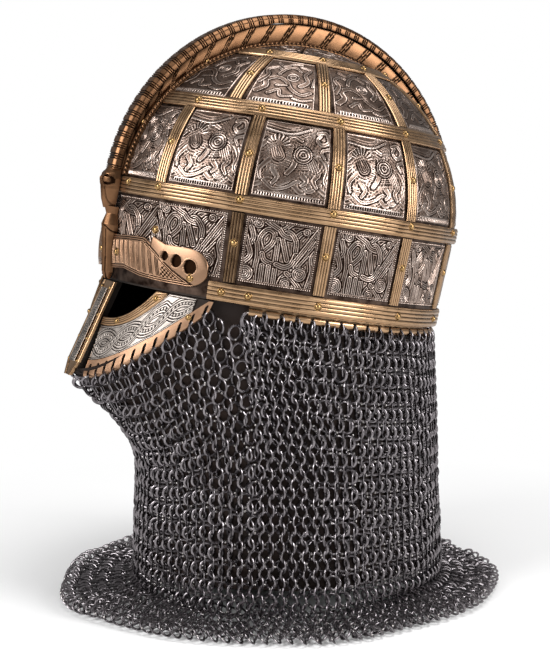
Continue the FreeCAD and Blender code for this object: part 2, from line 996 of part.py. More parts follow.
def nose_slab(low, high, half, low_half, near, far):
    """A slab along the nose bar between two depths behind its front face."""
    sections = []
    for height, width in ((low, low_half), (low + half, half), (high, half)):
        front = nose_line(height)
        corners = ((-width, near), (width, near), (width, far), (-width, far))
        sections.append([vector(x, front + depth, height) for x, depth in corners])
    return loft_polygons(sections)


def nose_bar():
    return nose_slab(nose_bar_low, nose_bar_top, nose_bar_half, nose_bar_half / 2, 0.0, nose_bar_thick)


def nose_spine():
    """Dark backing bar behind the nose bar."""
    near = nose_bar_thick + layer_gap
    low = nose_bar_low + roll_outer
    high = -mask_top_gap
    return nose_slab(low, high, nose_spine_half, nose_spine_half, near, near + nose_spine_thick)


def nose_inlay():
    low = nose_bar_low + nose_bar_half
    high = nose_bar_top - nose_bar_half / 2
    near = -layer_gap - nose_inlay_thick
    return nose_slab(low, high, nose_inlay_half, nose_inlay_half, near, -layer_gap)


# Neck edge: a slotted strip inside the rim, rolled outwards round its own rod.

def neck_offset():
    return -panel_thick - bowl_thick - 2 * layer_gap - neck_strip_gap - roll_inner


def neck_height():
    return -roll_outer - layer_gap - mask_top_gap


def neck_last_angle():
    return full_turn - neck_first_angle


def neck_frame(angle):
    """Rod centre and outward direction of the neck edge at an angle."""
    across, along, _ = layer_at(0.0, neck_offset() + roll_outer)
    turn = math.radians(angle)
    centre = vector(across * math.sin(turn), -along * math.cos(turn), neck_height())
    outward = vector(math.sin(turn) / across, -math.cos(turn) / along, 0).normalize()
    return centre, outward


def neck_section(angle):
    """Gives the place of a section corner at one angle of the neck edge."""
    centre, outward = neck_frame(angle)

    def place(corner):
        return centre + outward * corner[0] + vector(0, 0, corner[1])
    return place


def neck_angles():
    """Slot middles along the neck edge, spaced by length."""
    across, along, _ = layer_at(0.0, neck_offset() + roll_outer)
    step = neck_search_step
    angle = neck_first_angle
    travelled = 0.0
    found = [angle]
    while angle < half_turn:
        turn = math.radians(angle)
        travelled += math.hypot(across * math.cos(turn), along * math.sin(turn)) * math.radians(step)
        angle += step
        if travelled >= slot_pitch:
            found.append(angle)
            travelled = 0.0
    return found


def neck_rim():
    """Strip inside the bowl with fingers rolled outwards round the rod, as one piece."""
    angles = neck_angles()
    spans = []
    for first, last in zip(angles, angles[1:]):
        side = half_angle(first, 0.0, slot_wide)
        spans.append((first + side, last - side))
    spans += [(full_turn - last, full_turn - first) for first, last in reversed(spans)]
    frames = [(neck_section(first), neck_section(last)) for first, last in spans]
    rise = neck_strip_rise - neck_height()
    outer = ((-roll_outer, rise), (-roll_outer, neck_finger_rise))
    inner = ((-roll_inner, rise), (-roll_inner, neck_finger_rise))
    return fingered_strip(frames, neck_roll_turns, (outer, inner))


def neck_rod():
    count = 2 * len(neck_angles())
    step = (neck_last_angle() - neck_first_angle) / count
    frames = [neck_frame(neck_first_angle + step * number) for number in range(count + 1)]
    return loft_polygons(rod_sections([f[0] for f in frames], [f[1] for f in frames]))


# Mail: points of the outer skin by column and level, with the inner skin one thickness inside.

def mail_top(angle):
    """Upper edge of the mail under the rolled edges, with its outward direction."""
    turn = min(angle, full_turn - angle)
    if turn < mask_first_angle:
        point = vector(0, -mask_nose_reach, nose_bar_low - mail_hang)
        outward = vector(0, -1, 0)
    elif turn > neck_first_angle - mail_step():
        centre, outward = neck_frame(turn)
        point = centre - vector(0, 0, mail_hang)
    else:
        share = (turn - mask_first_angle) / (mask_last_angle - mask_first_angle)
        share = min(share, mask_corner)
        outward = mask_normal(share)
        point = mask_lower(share) + outward * roll_offset() - vector(0, 0, mail_hang)
    if angle > half_turn:
        point = vector(-point.x, point.y, point.z)
        outward = vector(-outward.x, outward.y, outward.z)
    return seat_point(point), vector(outward.x, outward.y, 0).normalize()


def mail_step():
    return full_turn / mail_columns


def oval(angle, across, along, back, height):
    turn = math.radians(angle)
    return vector(across * math.sin(turn), back - along * math.cos(turn), height)


def fold_wave(angle):
    """Uneven waves round the mail, the same on both sides."""
    parts = zip(fold_counts, fold_parts)
    return sum(part * math.cos(math.radians(count * angle)) for count, part in parts)


def mail_point(angle, level):
    """Point on the hanging part, from the top edge at 0 to the foot at 1."""
    top, _ = mail_top(angle)
    height = top.z + (foot_height - top.z) * level
    fold = fold_shallow * level * fold_wave(angle)
    if height > waist_height:
        part = ((height - waist_height) / (top.z - waist_height)) ** waist_power
        waist = oval(angle, waist_half_width + fold, waist_half_length + fold, waist_back, height)
        return waist + (vector(top.x, top.y, height) - waist) * part
    part = (height - foot_height) / (waist_height - foot_height)
    across = foot_half_width + (waist_half_width - foot_half_width) * part
    along = foot_half_length + (waist_half_length - foot_half_length) * part
    return oval(angle, across + fold, along + fold, foot_back + (waist_back - foot_back) * part, height)


def skirt_point(angle, share, height):
    """Point on the part spread on the floor, from the foot at 0 to the hem at 1."""
    fold = (fold_shallow + (fold_deep - fold_shallow) * share) * fold_wave(angle)
    foot = oval(angle, foot_half_width + fold, foot_half_length + fold, foot_back, height)
    hem = oval(angle, hem_half_width + fold, hem_half_length + fold, hem_back, height)
    return foot + (hem - foot) * share


def mail_curtain():
    """Mail as one skin, hung from the rolled edges and spread on the floor at its hem."""
    columns = []
    for number in range(mail_columns):
        columns.append(mail_column(mail_step() * number))
    faces = []
    for column, after in zip(columns, columns[1:] + columns[:1]):
        faces += band_faces(column + column[:1], after + after[:1])
    return solid_from_faces(faces)


def mail_column(angle):
    """Closed chain of skin corners in one upright cut through the mail."""
    outward = oval(angle, 1.0, 1.0, 0.0, 0.0)
    outside = [mail_point(angle, level) for level in mail_levels]
    inside = [point - outward * mail_thick for point in outside]
    for share, height in zip((0.0,) + skirt_shares, (foot_bend_height,) + skirt_heights):
        outside.append(skirt_point(angle, share, height * mail_thick))
        inside.append(skirt_point(angle, share, (height - 1.0) * mail_thick))
    inside[len(mail_levels)] -= outward * mail_thick
    return outside + list(reversed(inside))


def mail_backing():
    """Thin leather hung behind the mail, clear of the floor."""
    outer = mail_thick + backing_gap
    rows = [backing_row(level, outer) for level in backing_levels]
    rows += [backing_row(level, outer + backing_thick) for level in reversed(backing_levels)]
    return closed_rings(rows)


def backing_row(level, inset):
    angles = [mail_step() * number for number in backing_columns]
    return [mail_point(angle, level) - oval(angle, inset, inset, 0.0, 0.0) for angle in angles]


# Rivets.

def dome_rivet(point, normal, scale=1.0):
    """Low five sided dome with its flat side at a point."""
    spread = normal.cross(vector(0, 0, 1))
    if spread.Length < small_step:
        spread = vector(1, 0, 0)
    spread = spread.normalize()
    other = normal.cross(spread)
    sections = []
    for radius, rise in ((rivet_radius * scale, 0.0), (rivet_radius * scale * rivet_top_share, rivet_rise)):
        points = []
        for number in range(rivet_sides):
            turn = math.radians(full_turn * number / rivet_sides)
            side = spread * (radius * math.cos(turn)) + other * (radius * math.sin(turn))
            points.append(point + side + normal * rise)
        sections.append(points)
    return loft_polygons(sections)


def bowl_rivet(angle, place, offset):
    return dome_rivet(bowl_point(angle, place, offset), bowl_normal(angle, place))


def hoop_top():
    return layer_gap + hoop_thick + 2 * layer_gap


def rib_top():
    return layer_gap + rib_foot_lift() + rib_thick + layer_gap


def hoop_rivets():
    rivets = []
    for angle in both_sides([lower_hoop_rivet_first] + rib_angles()):
        rivets.append(bowl_rivet(angle, lower_hoop_rivet_place(), hoop_top()))
    for angle in both_sides(upper_hoop_rivet_angles):
        rivets.append(bowl_rivet(angle, place_at(upper_hoop_height), hoop_top()))
    for angle in both_sides(crown_hoop_rivet_angles):
        rivets.append(bowl_rivet(angle, place_at(crown_hoop_height), hoop_top()))
    return Part.makeCompound(rivets)


def lower_hoop_rivet_place():
    return 1 + hoop_wide / 4 / course_length(1.0)


def rim_rivets():
    place = place_at(rim_band_wide / 2)
    return Part.makeCompound([bowl_rivet(angle, place, hoop_top()) for angle in both_sides(rim_rivet_angles)])


def rib_rivets():
    low = place_at(widest_height * rib_rivet_share)
    middle = place_at((widest_height + upper_hoop_height) / 2)
    high = place_at((upper_hoop_height + crown_hoop_height) / 2)
    rivets = [bowl_rivet(angle, low, rib_top()) for angle in both_sides(rib_angles()[1:])]
    rivets += [bowl_rivet(angle, low, layer_gap) for angle in both_sides(rib_angles()[:1])]
    rivets += [bowl_rivet(angle, middle, rib_top()) for angle in both_sides(rib_angles())]
    rivets += [bowl_rivet(angle, high, rib_top()) for angle in both_sides(top_rib_angles())]
    return Part.makeCompound(rivets)


def crest_rivets():
    """Small rivets along both foot strips."""
    low = crest_foot_lift() + crest_foot_thick + layer_gap
    across = (crest_body_wide + crest_foot_wide) / 4
    chain = dome_chain(low, across)
    rivets = []
    for share in crest_rivet_shares:
        number = int(share * (len(chain) - 1))
        point = (chain[number] + chain[number + 1]) * 0.5
        run = (chain[number + 1] - chain[number]).normalize()
        normal = vector(1, 0, 0).cross(run).normalize()
        normal = normal if normal.dot(point - vector(0, 0, widest_height)) > 0 else normal * -1
        rivets.append(dome_rivet(point, normal, crest_rivet_scale))
    return Part.makeCompound(rivets + [mirror(rivet) for rivet in rivets])


def brow_rivets():
    rivets = []
    for share, height, sink in zip(brow_rivet_shares, brow_rivet_heights, brow_rivet_sinks):
        angle = brow_start + (brow_end - brow_start) * share
        offset = 2 * layer_gap + brow_lift + brow_thick - sink
        rivets.append(bowl_rivet(angle, place_at(height), offset))
    return Part.makeCompound(rivets + [mirror(rivet) for rivet in rivets])


def mask_rivets():
    """Rivets along the nose bar, the eye strips and the corners of the slotted rim."""
    rivets = []
    across = (nose_bar_half + nose_inlay_half) / 2
    lean = vector(0, -1, nose_bar_slope).normalize()
    for height in nose_rivet_heights:
        point = vector(across, nose_line(height), height) + lean * layer_gap
        rivets.append(dome_rivet(point, lean, nose_rivet_scale))
    for share in eye_rivet_shares:
        height = (eye_edge(share) + eye_strip_edge(share)) / 2
        point = mask_point(share, height, eye_strip_thick + 3 * layer_gap)
        rivets.append(dome_rivet(point, mask_normal(share), crest_rivet_scale))
    height = lower_edge(corner_rivet_share) + face_rim_wide * corner_rivet_rise_share
    offset = roll_offset() + roll_outer + 2 * layer_gap
    point = mask_point(corner_rivet_share, height, offset)
    rivets.append(dome_rivet(point, mask_normal(corner_rivet_share), crest_rivet_scale))
    return Part.makeCompound(rivets + [mirror(rivet) for rivet in rivets])


# Leather inside.

def liner_band():
    """Leather band that grips the head."""
    return ring(place_at(liner_low), place_at(liner_high), liner_offset, liner_offset + liner_thick)


def crown_straps():
    """Leather tongues from the band up under the crown."""
    straps = []
    for number in range(crown_strap_count):
        angle = full_turn * (number + 0.5) / crown_strap_count
        straps.append(crown_strap(angle))
    return Part.makeCompound(straps)


def crown_strap(angle):
    low = place_at(liner_high) - crown_strap_low_share
    sections = []
    for place in course_places(low, float(last_place() - 2)):
        side = half_angle(angle, place, crown_strap_wide) * crown_strap_taper(place)
        inner = liner_offset - 2 * layer_gap - crown_strap_thick
        outer = inner + crown_strap_thick
        corners = ((-side, inner), (side, inner), (side, outer), (-side, outer))
        sections.append([bowl_point(angle + turn, place, offset) for turn, offset in corners])
    return loft_polygons(sections)


def crown_strap_taper(place):
    return 1 - crown_strap_taper_share * place


def liner_rivets():
    """Long rivets that hold the band off the bowl."""
    rivets = []
    skin = -panel_thick - bowl_thick - 3 * layer_gap
    place = place_at((liner_low + liner_high) / 2)
    for angle in both_sides(liner_rivet_angles):
        base = bowl_point(angle, place, liner_offset + liner_thick + layer_gap)
        tip = bowl_point(angle, place, skin)
        length = (tip - base).Length
        rivets.append(square_post(base, (tip - base).normalize(), length, rivet_radius))
    return Part.makeCompound(rivets)


def square_post(base, axis, length, radius):
    side = axis.cross(vector(0, 0, 1)).normalize()
    other = axis.cross(side)
    turns = ((-1, -1), (1, -1), (1, 1), (-1, 1))
    corners = [base + side * (a * radius) + other * (b * radius) for a, b in turns]
    return Part.Face(polygon_wire(corners)).extrude(axis * length)


# Chin strap. It hangs plumb from an axis across the bowl, drawn at its rest place.

def strap_axis_point():
    """Middle of the strap's turning axis, between the two side rivets."""
    point = bowl_point(strap_seat_angle, place_at(strap_seat_height), -panel_thick)
    return seat_point(vector(0, point.y, point.z))


def strap_point(turn, offset, side):
    """Point on the hanging strap, from the left rivet at 0 round the chin to the right one at 180."""
    angle = math.radians(turn)
    middle = strap_axis_point()
    across = (strap_half_span + offset) * math.cos(angle)
    down = (strap_drop + offset) * math.sin(angle)
    return vector(across, middle.y + side, middle.z - down)


def strap_run(stations):
    """A length of strap through stations, each a turn of its curve and the offset of its inner face."""
    sections = []
    half = strap_wide / 2
    for turn, low in stations:
        corners = ((-half, low), (half, low), (half, low + strap_thick), (-half, low + strap_thick))
        sections.append([strap_point(turn, offset, side) for side, offset in corners])
    return loft_polygons(sections)


def strap_hole(side):
    """Round hole that a strap end turns on its rivet by."""
    middle = strap_axis_point()
    start = vector(side * strap_half_span / 2, middle.y, middle.z)
    return many_sided(start, vector(side, 0, 0), strap_pin_radius + strap_play, strap_half_span, hole_sides)


def buckle_place(along, out, side):
    """Point in the buckle's own directions: down the strap, outwards and across."""
    turn = strap_step * buckle_step
    middle = strap_point(turn, strap_thick / 2, side)
    down = (strap_point(turn + small_step, 0.0, 0.0) - strap_point(turn - small_step, 0.0, 0.0)).normalize()
    outward = down.cross(vector(0, 1, 0))
    if outward.x < 0:
        outward = outward * -1
    return middle + down * along + outward * out


def buckle_block(along, out, side, length, thick, wide):
    """A block square to the buckle, from its low corner."""
    corners = [buckle_place(a, out, side) for a in (along, along + length)]
    corners += [buckle_place(a, out + thick, side) for a in (along + length, along)]
    return Part.Face(polygon_wire(corners)).extrude(vector(0, wide, 0))


def buckle_frame():
    """Square frame, the tongue and the short strap turn on its upper bar."""
    low = -buckle_long / 2
    out = -buckle_bar / 2
    outside = buckle_block(low, out, -buckle_wide / 2, buckle_long, buckle_bar, buckle_wide)
    room = buckle_block(low + buckle_bar, -buckle_long, buckle_bar - buckle_wide / 2,
                        buckle_long - 2 * buckle_bar, 2 * buckle_long, buckle_wide - 2 * buckle_bar)
    return outside.cut(room)


def bar_eye(side, wide):
    """Round eye over the upper bar of the buckle, with its hole."""
    centre = buckle_place((buckle_bar - buckle_long) / 2, 0.0, side)
    start = vector(0, 1, 0)
    return (many_sided(centre, start, eye_radius(), wide, eye_sides),
            many_sided(centre, start, buckle_bar * eye_hole_share, wide, eye_sides))


def eye_radius():
    return buckle_bar * eye_rim_share


def buckle_tongue():
    """Prong from the upper bar over the lower one."""
    eye, hole = bar_eye(-tongue_wide / 2, tongue_wide)
    low = (buckle_bar - buckle_long) / 2
    rise = buckle_bar / 2 + layer_gap
    length = buckle_long - buckle_bar / 2
    prong = buckle_block(low, rise, -tongue_wide / 2, length, buckle_bar / 2, tongue_wide)
    return eye.fuse(prong).cut(hole)


def strap_left():
    """Short strap from the left rivet to the buckle."""
    run = strap_run([(strap_step * step, 0.0) for step in range(-1, buckle_step + 1)])
    half = strap_wide / 2
    reach = 2 * buckle_long
    bar_place = (buckle_bar - buckle_long) / 2
    room = buckle_block(bar_place - buckle_bar * eye_hole_share, -buckle_long, -half, reach, reach, strap_wide)
    notch = buckle_block(bar_place - eye_radius() - strap_play, -buckle_long, -tongue_wide / 2 - strap_play,
                         reach, reach, tongue_wide + 2 * strap_play)
    lug = half - tongue_wide / 2 - strap_play
    eyes = [bar_eye(-half, lug), bar_eye(half - lug, lug)]
    joined = run.cut(strap_hole(1)).cut(room).fuse([eye for eye, _ in eyes])
    return joined.cut(Part.makeCompound([notch] + [hole for _, hole in eyes]))


def strap_lap_offset():
    """Offset of the long strap where it lies over the eyes of the short one."""
    return strap_thick / 2 + eye_radius() + strap_lap_gap


def strap_right():
    """Long strap from the right rivet under the chin, up through the buckle and over the short one."""
    over = strap_lap_offset()
    under = strap_thick / 2 - buckle_bar / 2 - strap_lap_gap - strap_thick
    middle = strap_step * buckle_step
    stations = [(strap_step * step, over) for step in range(strap_lap_step, buckle_step)]
    pass_turn = strap_step * strap_pass_share
    stations += [(middle - pass_turn, over), (middle + pass_turn, under)]
    stations.append((middle + strap_step, under))
    stations += [(strap_step * step, 0.0) for step in range(buckle_step + 2, strap_last_step + 2)]
    run = strap_run(stations)
    slot = buckle_block(-buckle_long / 2 - buckle_bar, -buckle_long, -tongue_wide,
                        buckle_long + buckle_bar, 2 * buckle_long, 2 * tongue_wide)
    return run.cut(strap_hole(-1)).cut(slot)


def strap_keeper():
    """Loop that holds the end of the long strap down on the short one."""
    turn = keeper_step
    inner, outer = -strap_play, strap_lap_offset() + strap_thick + strap_play
    half = strap_wide / 2 + strap_play
    wall = strap_thick / 2
    outside = keeper_block(turn, inner - wall, outer + wall, half + wall)
    return outside.cut(keeper_block(turn, inner, outer, half, 1.0))


def keeper_block(step, inner, outer, half, overrun=0.0):
    first, last = [strap_step * (step + share) for share in keeper_shares]
    first, last = first - strap_step * overrun, last + strap_step * overrun
    low, high = strap_step * step, strap_step * (step + 1)
    sections = []
    for turn in (first, last):
        share = (turn - low) / (high - low)
        section = []
        for side, offset in ((-half, inner), (half, inner), (half, outer), (-half, outer)):
            start, end = strap_point(low, offset, side), strap_point(high, offset, side)
            section.append(start + (end - start) * share)
        sections.append(section)
    return loft_polygons(sections)


def strap_rivets():
    """Headed pins through the bowl that the strap ends turn on."""
    middle = strap_axis_point()
    skin = -panel_thick - bowl_thick - 4 * layer_gap
    far = bowl_point(strap_seat_angle, place_at(strap_seat_height), skin).x
    near = strap_half_span - strap_play
    outward = vector(1, 0, 0)
    pin = many_sided(vector(near, middle.y, middle.z), outward, strap_pin_radius, far - near, hole_sides)
    head_start = vector(near - strap_thick / 2, middle.y, middle.z)
    head = many_sided(head_start, outward, 2 * strap_pin_radius, strap_thick / 2, hole_sides)
    left = pin.fuse(head)
    return Part.makeCompound([left, mirror(left)])


BUILDERS = {
    "skull_bowl": (skull_bowl, True),
    "rim_band": (rim_band, True),
    "lower_hoop": (lower_hoop, True),
    "upper_hoop_left": (upper_hoop_left, True),
    "upper_hoop_right": (upper_hoop_right, True),
    "crown_hoop_left": (crown_hoop_left, True),
    "crown_hoop_right": (crown_hoop_right, True),
    "lower_panels": (lower_panels, True),
    "middle_panels": (middle_panels, True),
    "upper_panels": (upper_panels, True),
    "crown_panels": (crown_panels, True),
    "lower_ribs": (lower_ribs, True),
    "middle_ribs": (middle_ribs, True),
    "upper_ribs": (upper_ribs, True),
    "crest_body": (crest_body, True),
    "crest_flange": (crest_flange, True),
    "crest_foot_left": (crest_foot_left, True),
    "crest_foot_right": (crest_foot_right, True),
    "crest_head": (crest_head, True),
    "forehead_ridge": (forehead_ridge, True),
    "brow_left": (brow_left, True),
    "brow_right": (brow_right, True),
    "cheek_plate_left": (cheek_plate_left, True),
    "cheek_plate_right": (cheek_plate_right, True),
    "cheek_panel_left": (cheek_panel_left, True),
    "cheek_panel_right": (cheek_panel_right, True),
    "eye_strip_left": (eye_strip_left, True),
    "eye_strip_right": (eye_strip_right, True),
    "face_rim_left": (face_rim_left, True),
    "face_rim_right": (face_rim_right, True),
    "face_rod_left": (face_rod_left, True),
    "face_rod_right": (face_rod_right, True),
    "nose_bar": (nose_bar, True),
    "nose_spine": (nose_spine, True),
    "nose_inlay": (nose_inlay, True),
    "neck_rim": (neck_rim, True),
    "neck_rod": (neck_rod, True),
    "mail_curtain": (mail_curtain, False),
    "mail_backing": (mail_backing, False),
    "hoop_rivets": (hoop_rivets, True),
    "rim_rivets": (rim_rivets, True),
    "rib_rivets": (rib_rivets, True),
    "crest_rivets": (crest_rivets, True),
    "brow_rivets": (brow_rivets, True),
    "mask_rivets": (mask_rivets, True),
    "liner_band": (liner_band, True),
    "crown_straps": (crown_straps, True),
    "liner_rivets": (liner_rivets, True),
    "strap_left": (strap_left, False),
    "strap_right": (strap_right, False),
    "strap_keeper": (strap_keeper, False),
    "strap_rivets": (strap_rivets, False),
    "buckle_frame": (buckle_frame, False),
    "buckle_tongue": (buckle_tongue, False),
}


def build_all():
    shapes = {}
    for name, (builder, seated) in BUILDERS.items():
        shape = builder()
        shapes[name] = seat(shape) if seated else shape
    front = shapes["nose_bar"].BoundBox.YMin
    back = shapes["mail_curtain"].BoundBox.YMax
    front = min(front, shapes["mail_curtain"].BoundBox.YMin)
    for shape in shapes.values():
        shape.translate(vector(0, -(front + back) / 2, 0))
    return shapes


def main():
    os.makedirs("parts", exist_ok=True)
    for name, shape in build_all().items():
        shape.exportStep(os.path.join("parts", name + ".step"))
        print(name, shape.isValid(), round(shape.Volume), len(shape.Solids))


main()
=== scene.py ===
import json
import math

import bpy
import numpy as np
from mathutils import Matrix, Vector

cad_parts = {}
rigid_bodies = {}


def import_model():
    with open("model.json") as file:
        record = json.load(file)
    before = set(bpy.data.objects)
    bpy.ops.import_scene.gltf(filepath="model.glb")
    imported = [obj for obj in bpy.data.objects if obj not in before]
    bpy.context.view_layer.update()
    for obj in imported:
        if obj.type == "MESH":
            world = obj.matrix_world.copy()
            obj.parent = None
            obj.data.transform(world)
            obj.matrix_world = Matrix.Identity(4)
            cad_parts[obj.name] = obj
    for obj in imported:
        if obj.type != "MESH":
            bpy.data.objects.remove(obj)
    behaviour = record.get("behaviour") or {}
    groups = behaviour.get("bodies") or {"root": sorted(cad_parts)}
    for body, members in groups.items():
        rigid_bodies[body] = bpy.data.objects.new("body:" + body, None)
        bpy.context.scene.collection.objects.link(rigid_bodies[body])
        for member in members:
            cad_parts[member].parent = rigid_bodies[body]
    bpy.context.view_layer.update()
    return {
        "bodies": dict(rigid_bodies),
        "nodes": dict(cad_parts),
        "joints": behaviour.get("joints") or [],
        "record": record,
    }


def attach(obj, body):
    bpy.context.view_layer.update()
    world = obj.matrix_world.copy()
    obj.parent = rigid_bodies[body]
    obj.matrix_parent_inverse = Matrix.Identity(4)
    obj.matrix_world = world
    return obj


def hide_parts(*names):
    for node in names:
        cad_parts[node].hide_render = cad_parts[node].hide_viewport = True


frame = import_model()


# Skull bowl: one raised bowl of mild steel under all the sheets, oiled black and left plain. It is a dull dark
# grey that shows only from below and through the eyes, and it is kept this dark so that the bare strip under the
# brow guards reads as the shadow of the eyes: painted shade.

BOWL_HALF_WIDTH = 103.4
BOWL_HALF_LENGTH = 120.0
BOWL_DOME_RISE = 108.7
WIDEST_HEIGHT = 62.0
RIM_SHARE = 0.965
COURSE_TURN = 12.0
LEAN = math.radians(10.1)
SEAT_LIFT = 196.5
SEAT_BACK = -3.4165


def seat(x, y, z):
    """Places in mm on the rim plane, as they stand in the leaning helmet, in metres."""
    y_up = y * math.cos(LEAN) + z * math.sin(LEAN) + SEAT_BACK
    z_up = z * math.cos(LEAN) - y * math.sin(LEAN) + SEAT_LIFT
    return np.stack(np.broadcast_arrays(x, y_up, z_up), -1) / 1000.0


def place_at(height):
    """Place on the bowl's profile: 0 at the rim, 1 at the widest line, then one for each 12 degrees."""
    if height <= WIDEST_HEIGHT:
        return height / WIDEST_HEIGHT
    return 1 + math.degrees(math.asin((height - WIDEST_HEIGHT) / BOWL_DOME_RISE)) / COURSE_TURN


def bowl(angle, place, offset):
    """Points at an offset from the bowl, by the ellipse angle from the front and the place up the profile."""
    angle = np.radians(angle)
    place = np.asarray(place, float)
    rise = np.radians(COURSE_TURN * np.maximum(place - 1, 0))
    share = np.where(place < 1, RIM_SHARE + (1 - RIM_SHARE) * place, np.cos(rise))
    height = np.where(place < 1, WIDEST_HEIGHT * place, WIDEST_HEIGHT + (BOWL_DOME_RISE + offset) * np.sin(rise))
    across = (BOWL_HALF_WIDTH + offset) * share * np.sin(angle)
    along = -(BOWL_HALF_LENGTH + offset) * share * np.cos(angle)
    return seat(across, along, height)


def linear(code):
    """sRGB hex to the linear colour that Blender's nodes take."""
    parts = [int(code[i:i + 2], 16) / 255 for i in (1, 3, 5)]
    return tuple(p / 12.92 if p <= 0.04045 else ((p + 0.055) / 1.055) ** 2.4 for p in parts) + (1.0,)


def add_node(tree, kind, sockets=None, **settings):
    """Adds a node, sets its properties, and gives each named socket a value or a link."""
    node = tree.nodes.new("ShaderNode" + kind)
    for name, value in settings.items():
        setattr(node, name, value)
    for name, value in (sockets or {}).items():
        if isinstance(value, bpy.types.NodeSocket):
            tree.links.new(value, node.inputs[name])
        else:
            node.inputs[name].default_value = value
    return node


def new_finish(name):
    """An empty material with its shader and output, and places in metres on the object."""
    finish = bpy.data.materials.new(name)
    finish.use_nodes = True
    tree = finish.node_tree
    tree.nodes.clear()
    shader = add_node(tree, "BsdfPrincipled")
    add_node(tree, "OutputMaterial", {"Surface": shader.outputs["BSDF"]})
    where = add_node(tree, "TexCoord").outputs["Object"]
    return finish, tree, shader, where


def give_surface(tree, shader, tone, share, dull, span=(0.0, 1.0), metallic=1.0):
    """Links a colour node to the shader, and a roughness that follows a share over its span."""
    tree.links.new(tone.outputs["Color"], shader.inputs["Base Color"])
    shader.inputs["Metallic"].default_value = metallic
    rough = add_node(tree, "MapRange", {"Value": share, "From Min": span[0], "From Max": span[1],
                                        "To Min": dull[0], "To Max": dull[1]})
    tree.links.new(rough.outputs["Result"], shader.inputs["Roughness"])


def mottled_metal(name, scale, detail, deep, pale, dull, span=(0.0, 1.0)):
    """Plain metal in cloudy patches of two tones, with its roughness at each."""
    finish, tree, shader, where = new_finish(name)
    cloud = add_node(tree, "TexNoise", {"Vector": where, "Scale": scale, "Detail": detail}).outputs["Fac"]
    tone = add_node(tree, "MixRGB", {"Fac": cloud, "Color1": linear(deep), "Color2": linear(pale)})
    give_surface(tree, shader, tone, cloud, dull, span)
    return finish


def refinish(names, finish):
    """Gives their finish to CAD nodes that stay in view."""
    for name in names:
        data = frame["nodes"][name].data
        data.materials.clear()
        data.materials.append(finish)


# oiled mild steel: dull, with cloudy patches about 12 mm across, and near black so that the bare strip under the
# brow guards reads as shadow: painted shade
dark_steel_painted_shade = mottled_metal("mild_steel_painted_shade", 80.0, 5.0, "#1E1A18", "#453E3A", (0.42, 0.62))
refinish(("skull_bowl", "cheek_plate_left", "cheek_plate_right", "liner_rivets"), dark_steel_painted_shade)


# Relief sheets: thin sheets stamped over a cut die, silvered, then blackened and wiped so that the black
# stays in the recesses. Each row has its own die, used again and again round the bowl.

def grid_part(points, relief=None, close_rows=False, solid=False):
    """A grid of corners as a part: corners, faces in blocks, and how far each corner stands out.

    A solid grid has closed columns and a lid on each open end, and its faces look outwards.
    """
    points = np.asarray(points, float)
    rows, columns = points.shape[:2]
    row, column = np.arange(rows if close_rows else rows - 1), np.arange(columns if solid else columns - 1)
    a, b = np.meshgrid(row, column, indexing="ij")
    c, d = (a + 1) % rows, (b + 1) % columns
    corners_of = [a * columns + b, a * columns + d, c * columns + d, c * columns + b]
    blocks = [np.stack(corners_of, -1).reshape(-1, 4)]
    if solid and not close_rows:
        blocks += [np.arange(columns)[None, ::-1], (rows - 1) * columns + np.arange(columns)[None, :]]
    corners = points.reshape(-1, 3)
    if solid and volume(corners, blocks) < 0:
        blocks = [block[:, ::-1] for block in blocks]
    shares = np.ones(len(corners)) if relief is None else np.broadcast_to(relief, (rows, columns)).ravel()
    return corners, blocks, shares


def volume(corners, blocks):
    """Signed volume of a closed form, positive when its faces look outwards."""
    middle = corners.mean(0)
    total = 0.0
    for block in blocks:
        fan = corners[block] - middle
        for number in range(1, block.shape[1] - 1):
            total += (fan[:, 0] * np.cross(fan[:, number], fan[:, number + 1])).sum()
    return total


def mirrored(part):
    """The wearer's right hand copy of a part."""
    corners, blocks, shares = part
    return corners * (-1, 1, 1), [block[:, ::-1] for block in blocks], shares


def both_sides(parts):
    """Parts of the left side with their mirrored copies."""
    return parts + [mirrored(part) for part in parts]


def add_piece(name, parts, finish, slot, stands_for=(), body="helmet", sharp=40.0):
    """Makes one object from parts, with its finish and body, and the nodes that it stands for."""
    starts = np.concatenate([[0], np.cumsum([len(corners) for corners, _, _ in parts])]).astype(int)
    corners = np.concatenate([part[0] for part in parts]).astype(np.float32)
    shares = np.concatenate([part[2] for part in parts]).astype(np.float32)
    blocks = [block + start for (_, faces, _), start in zip(parts, starts) for block in faces]
    loops = np.concatenate([block.ravel() for block in blocks]).astype(np.int32)
    sizes = np.concatenate([np.full(len(block), block.shape[1]) for block in blocks]).astype(np.int32)
    mesh = bpy.data.meshes.new(name)
    mesh.vertices.add(len(corners))
    mesh.vertices.foreach_set("co", corners.ravel())
    mesh.loops.add(len(loops))
    mesh.loops.foreach_set("vertex_index", loops)
    mesh.polygons.add(len(sizes))
    loop_starts = np.concatenate([[0], np.cumsum(sizes)[:-1]]).astype(np.int32)
    mesh.polygons.foreach_set("loop_start", loop_starts)
    mesh.polygons.foreach_set("loop_total", sizes)
    mesh.update(calc_edges=True)
    mesh.polygons.foreach_set("use_smooth", np.ones(len(sizes), bool))
    mesh.set_sharp_from_angle(angle=math.radians(sharp))
    mesh.attributes.new("relief", "FLOAT", "POINT").data.foreach_set("value", shares)
    mesh.materials.append(finish)
    piece = bpy.data.objects.new(name, mesh)
    bpy.context.scene.collection.objects.link(piece)
    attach(piece, body)
    if stands_for:
        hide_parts(*stands_for)


def nearest(u, v, line):
    """Distance from each place of a sheet to a line, and the share along the line of its nearest point."""
    line = np.asarray(line, np.float32)
    spots = np.stack([u.ravel(), v.ravel()], -1).astype(np.float32)
    gap = ((spots[:, None, :] - line[None, :, :]) ** 2).sum(-1)
    best = gap.argmin(1)
    distance = np.sqrt(gap[np.arange(len(best)), best])
    return distance.reshape(u.shape), (best / (len(line) - 1)).reshape(u.shape)


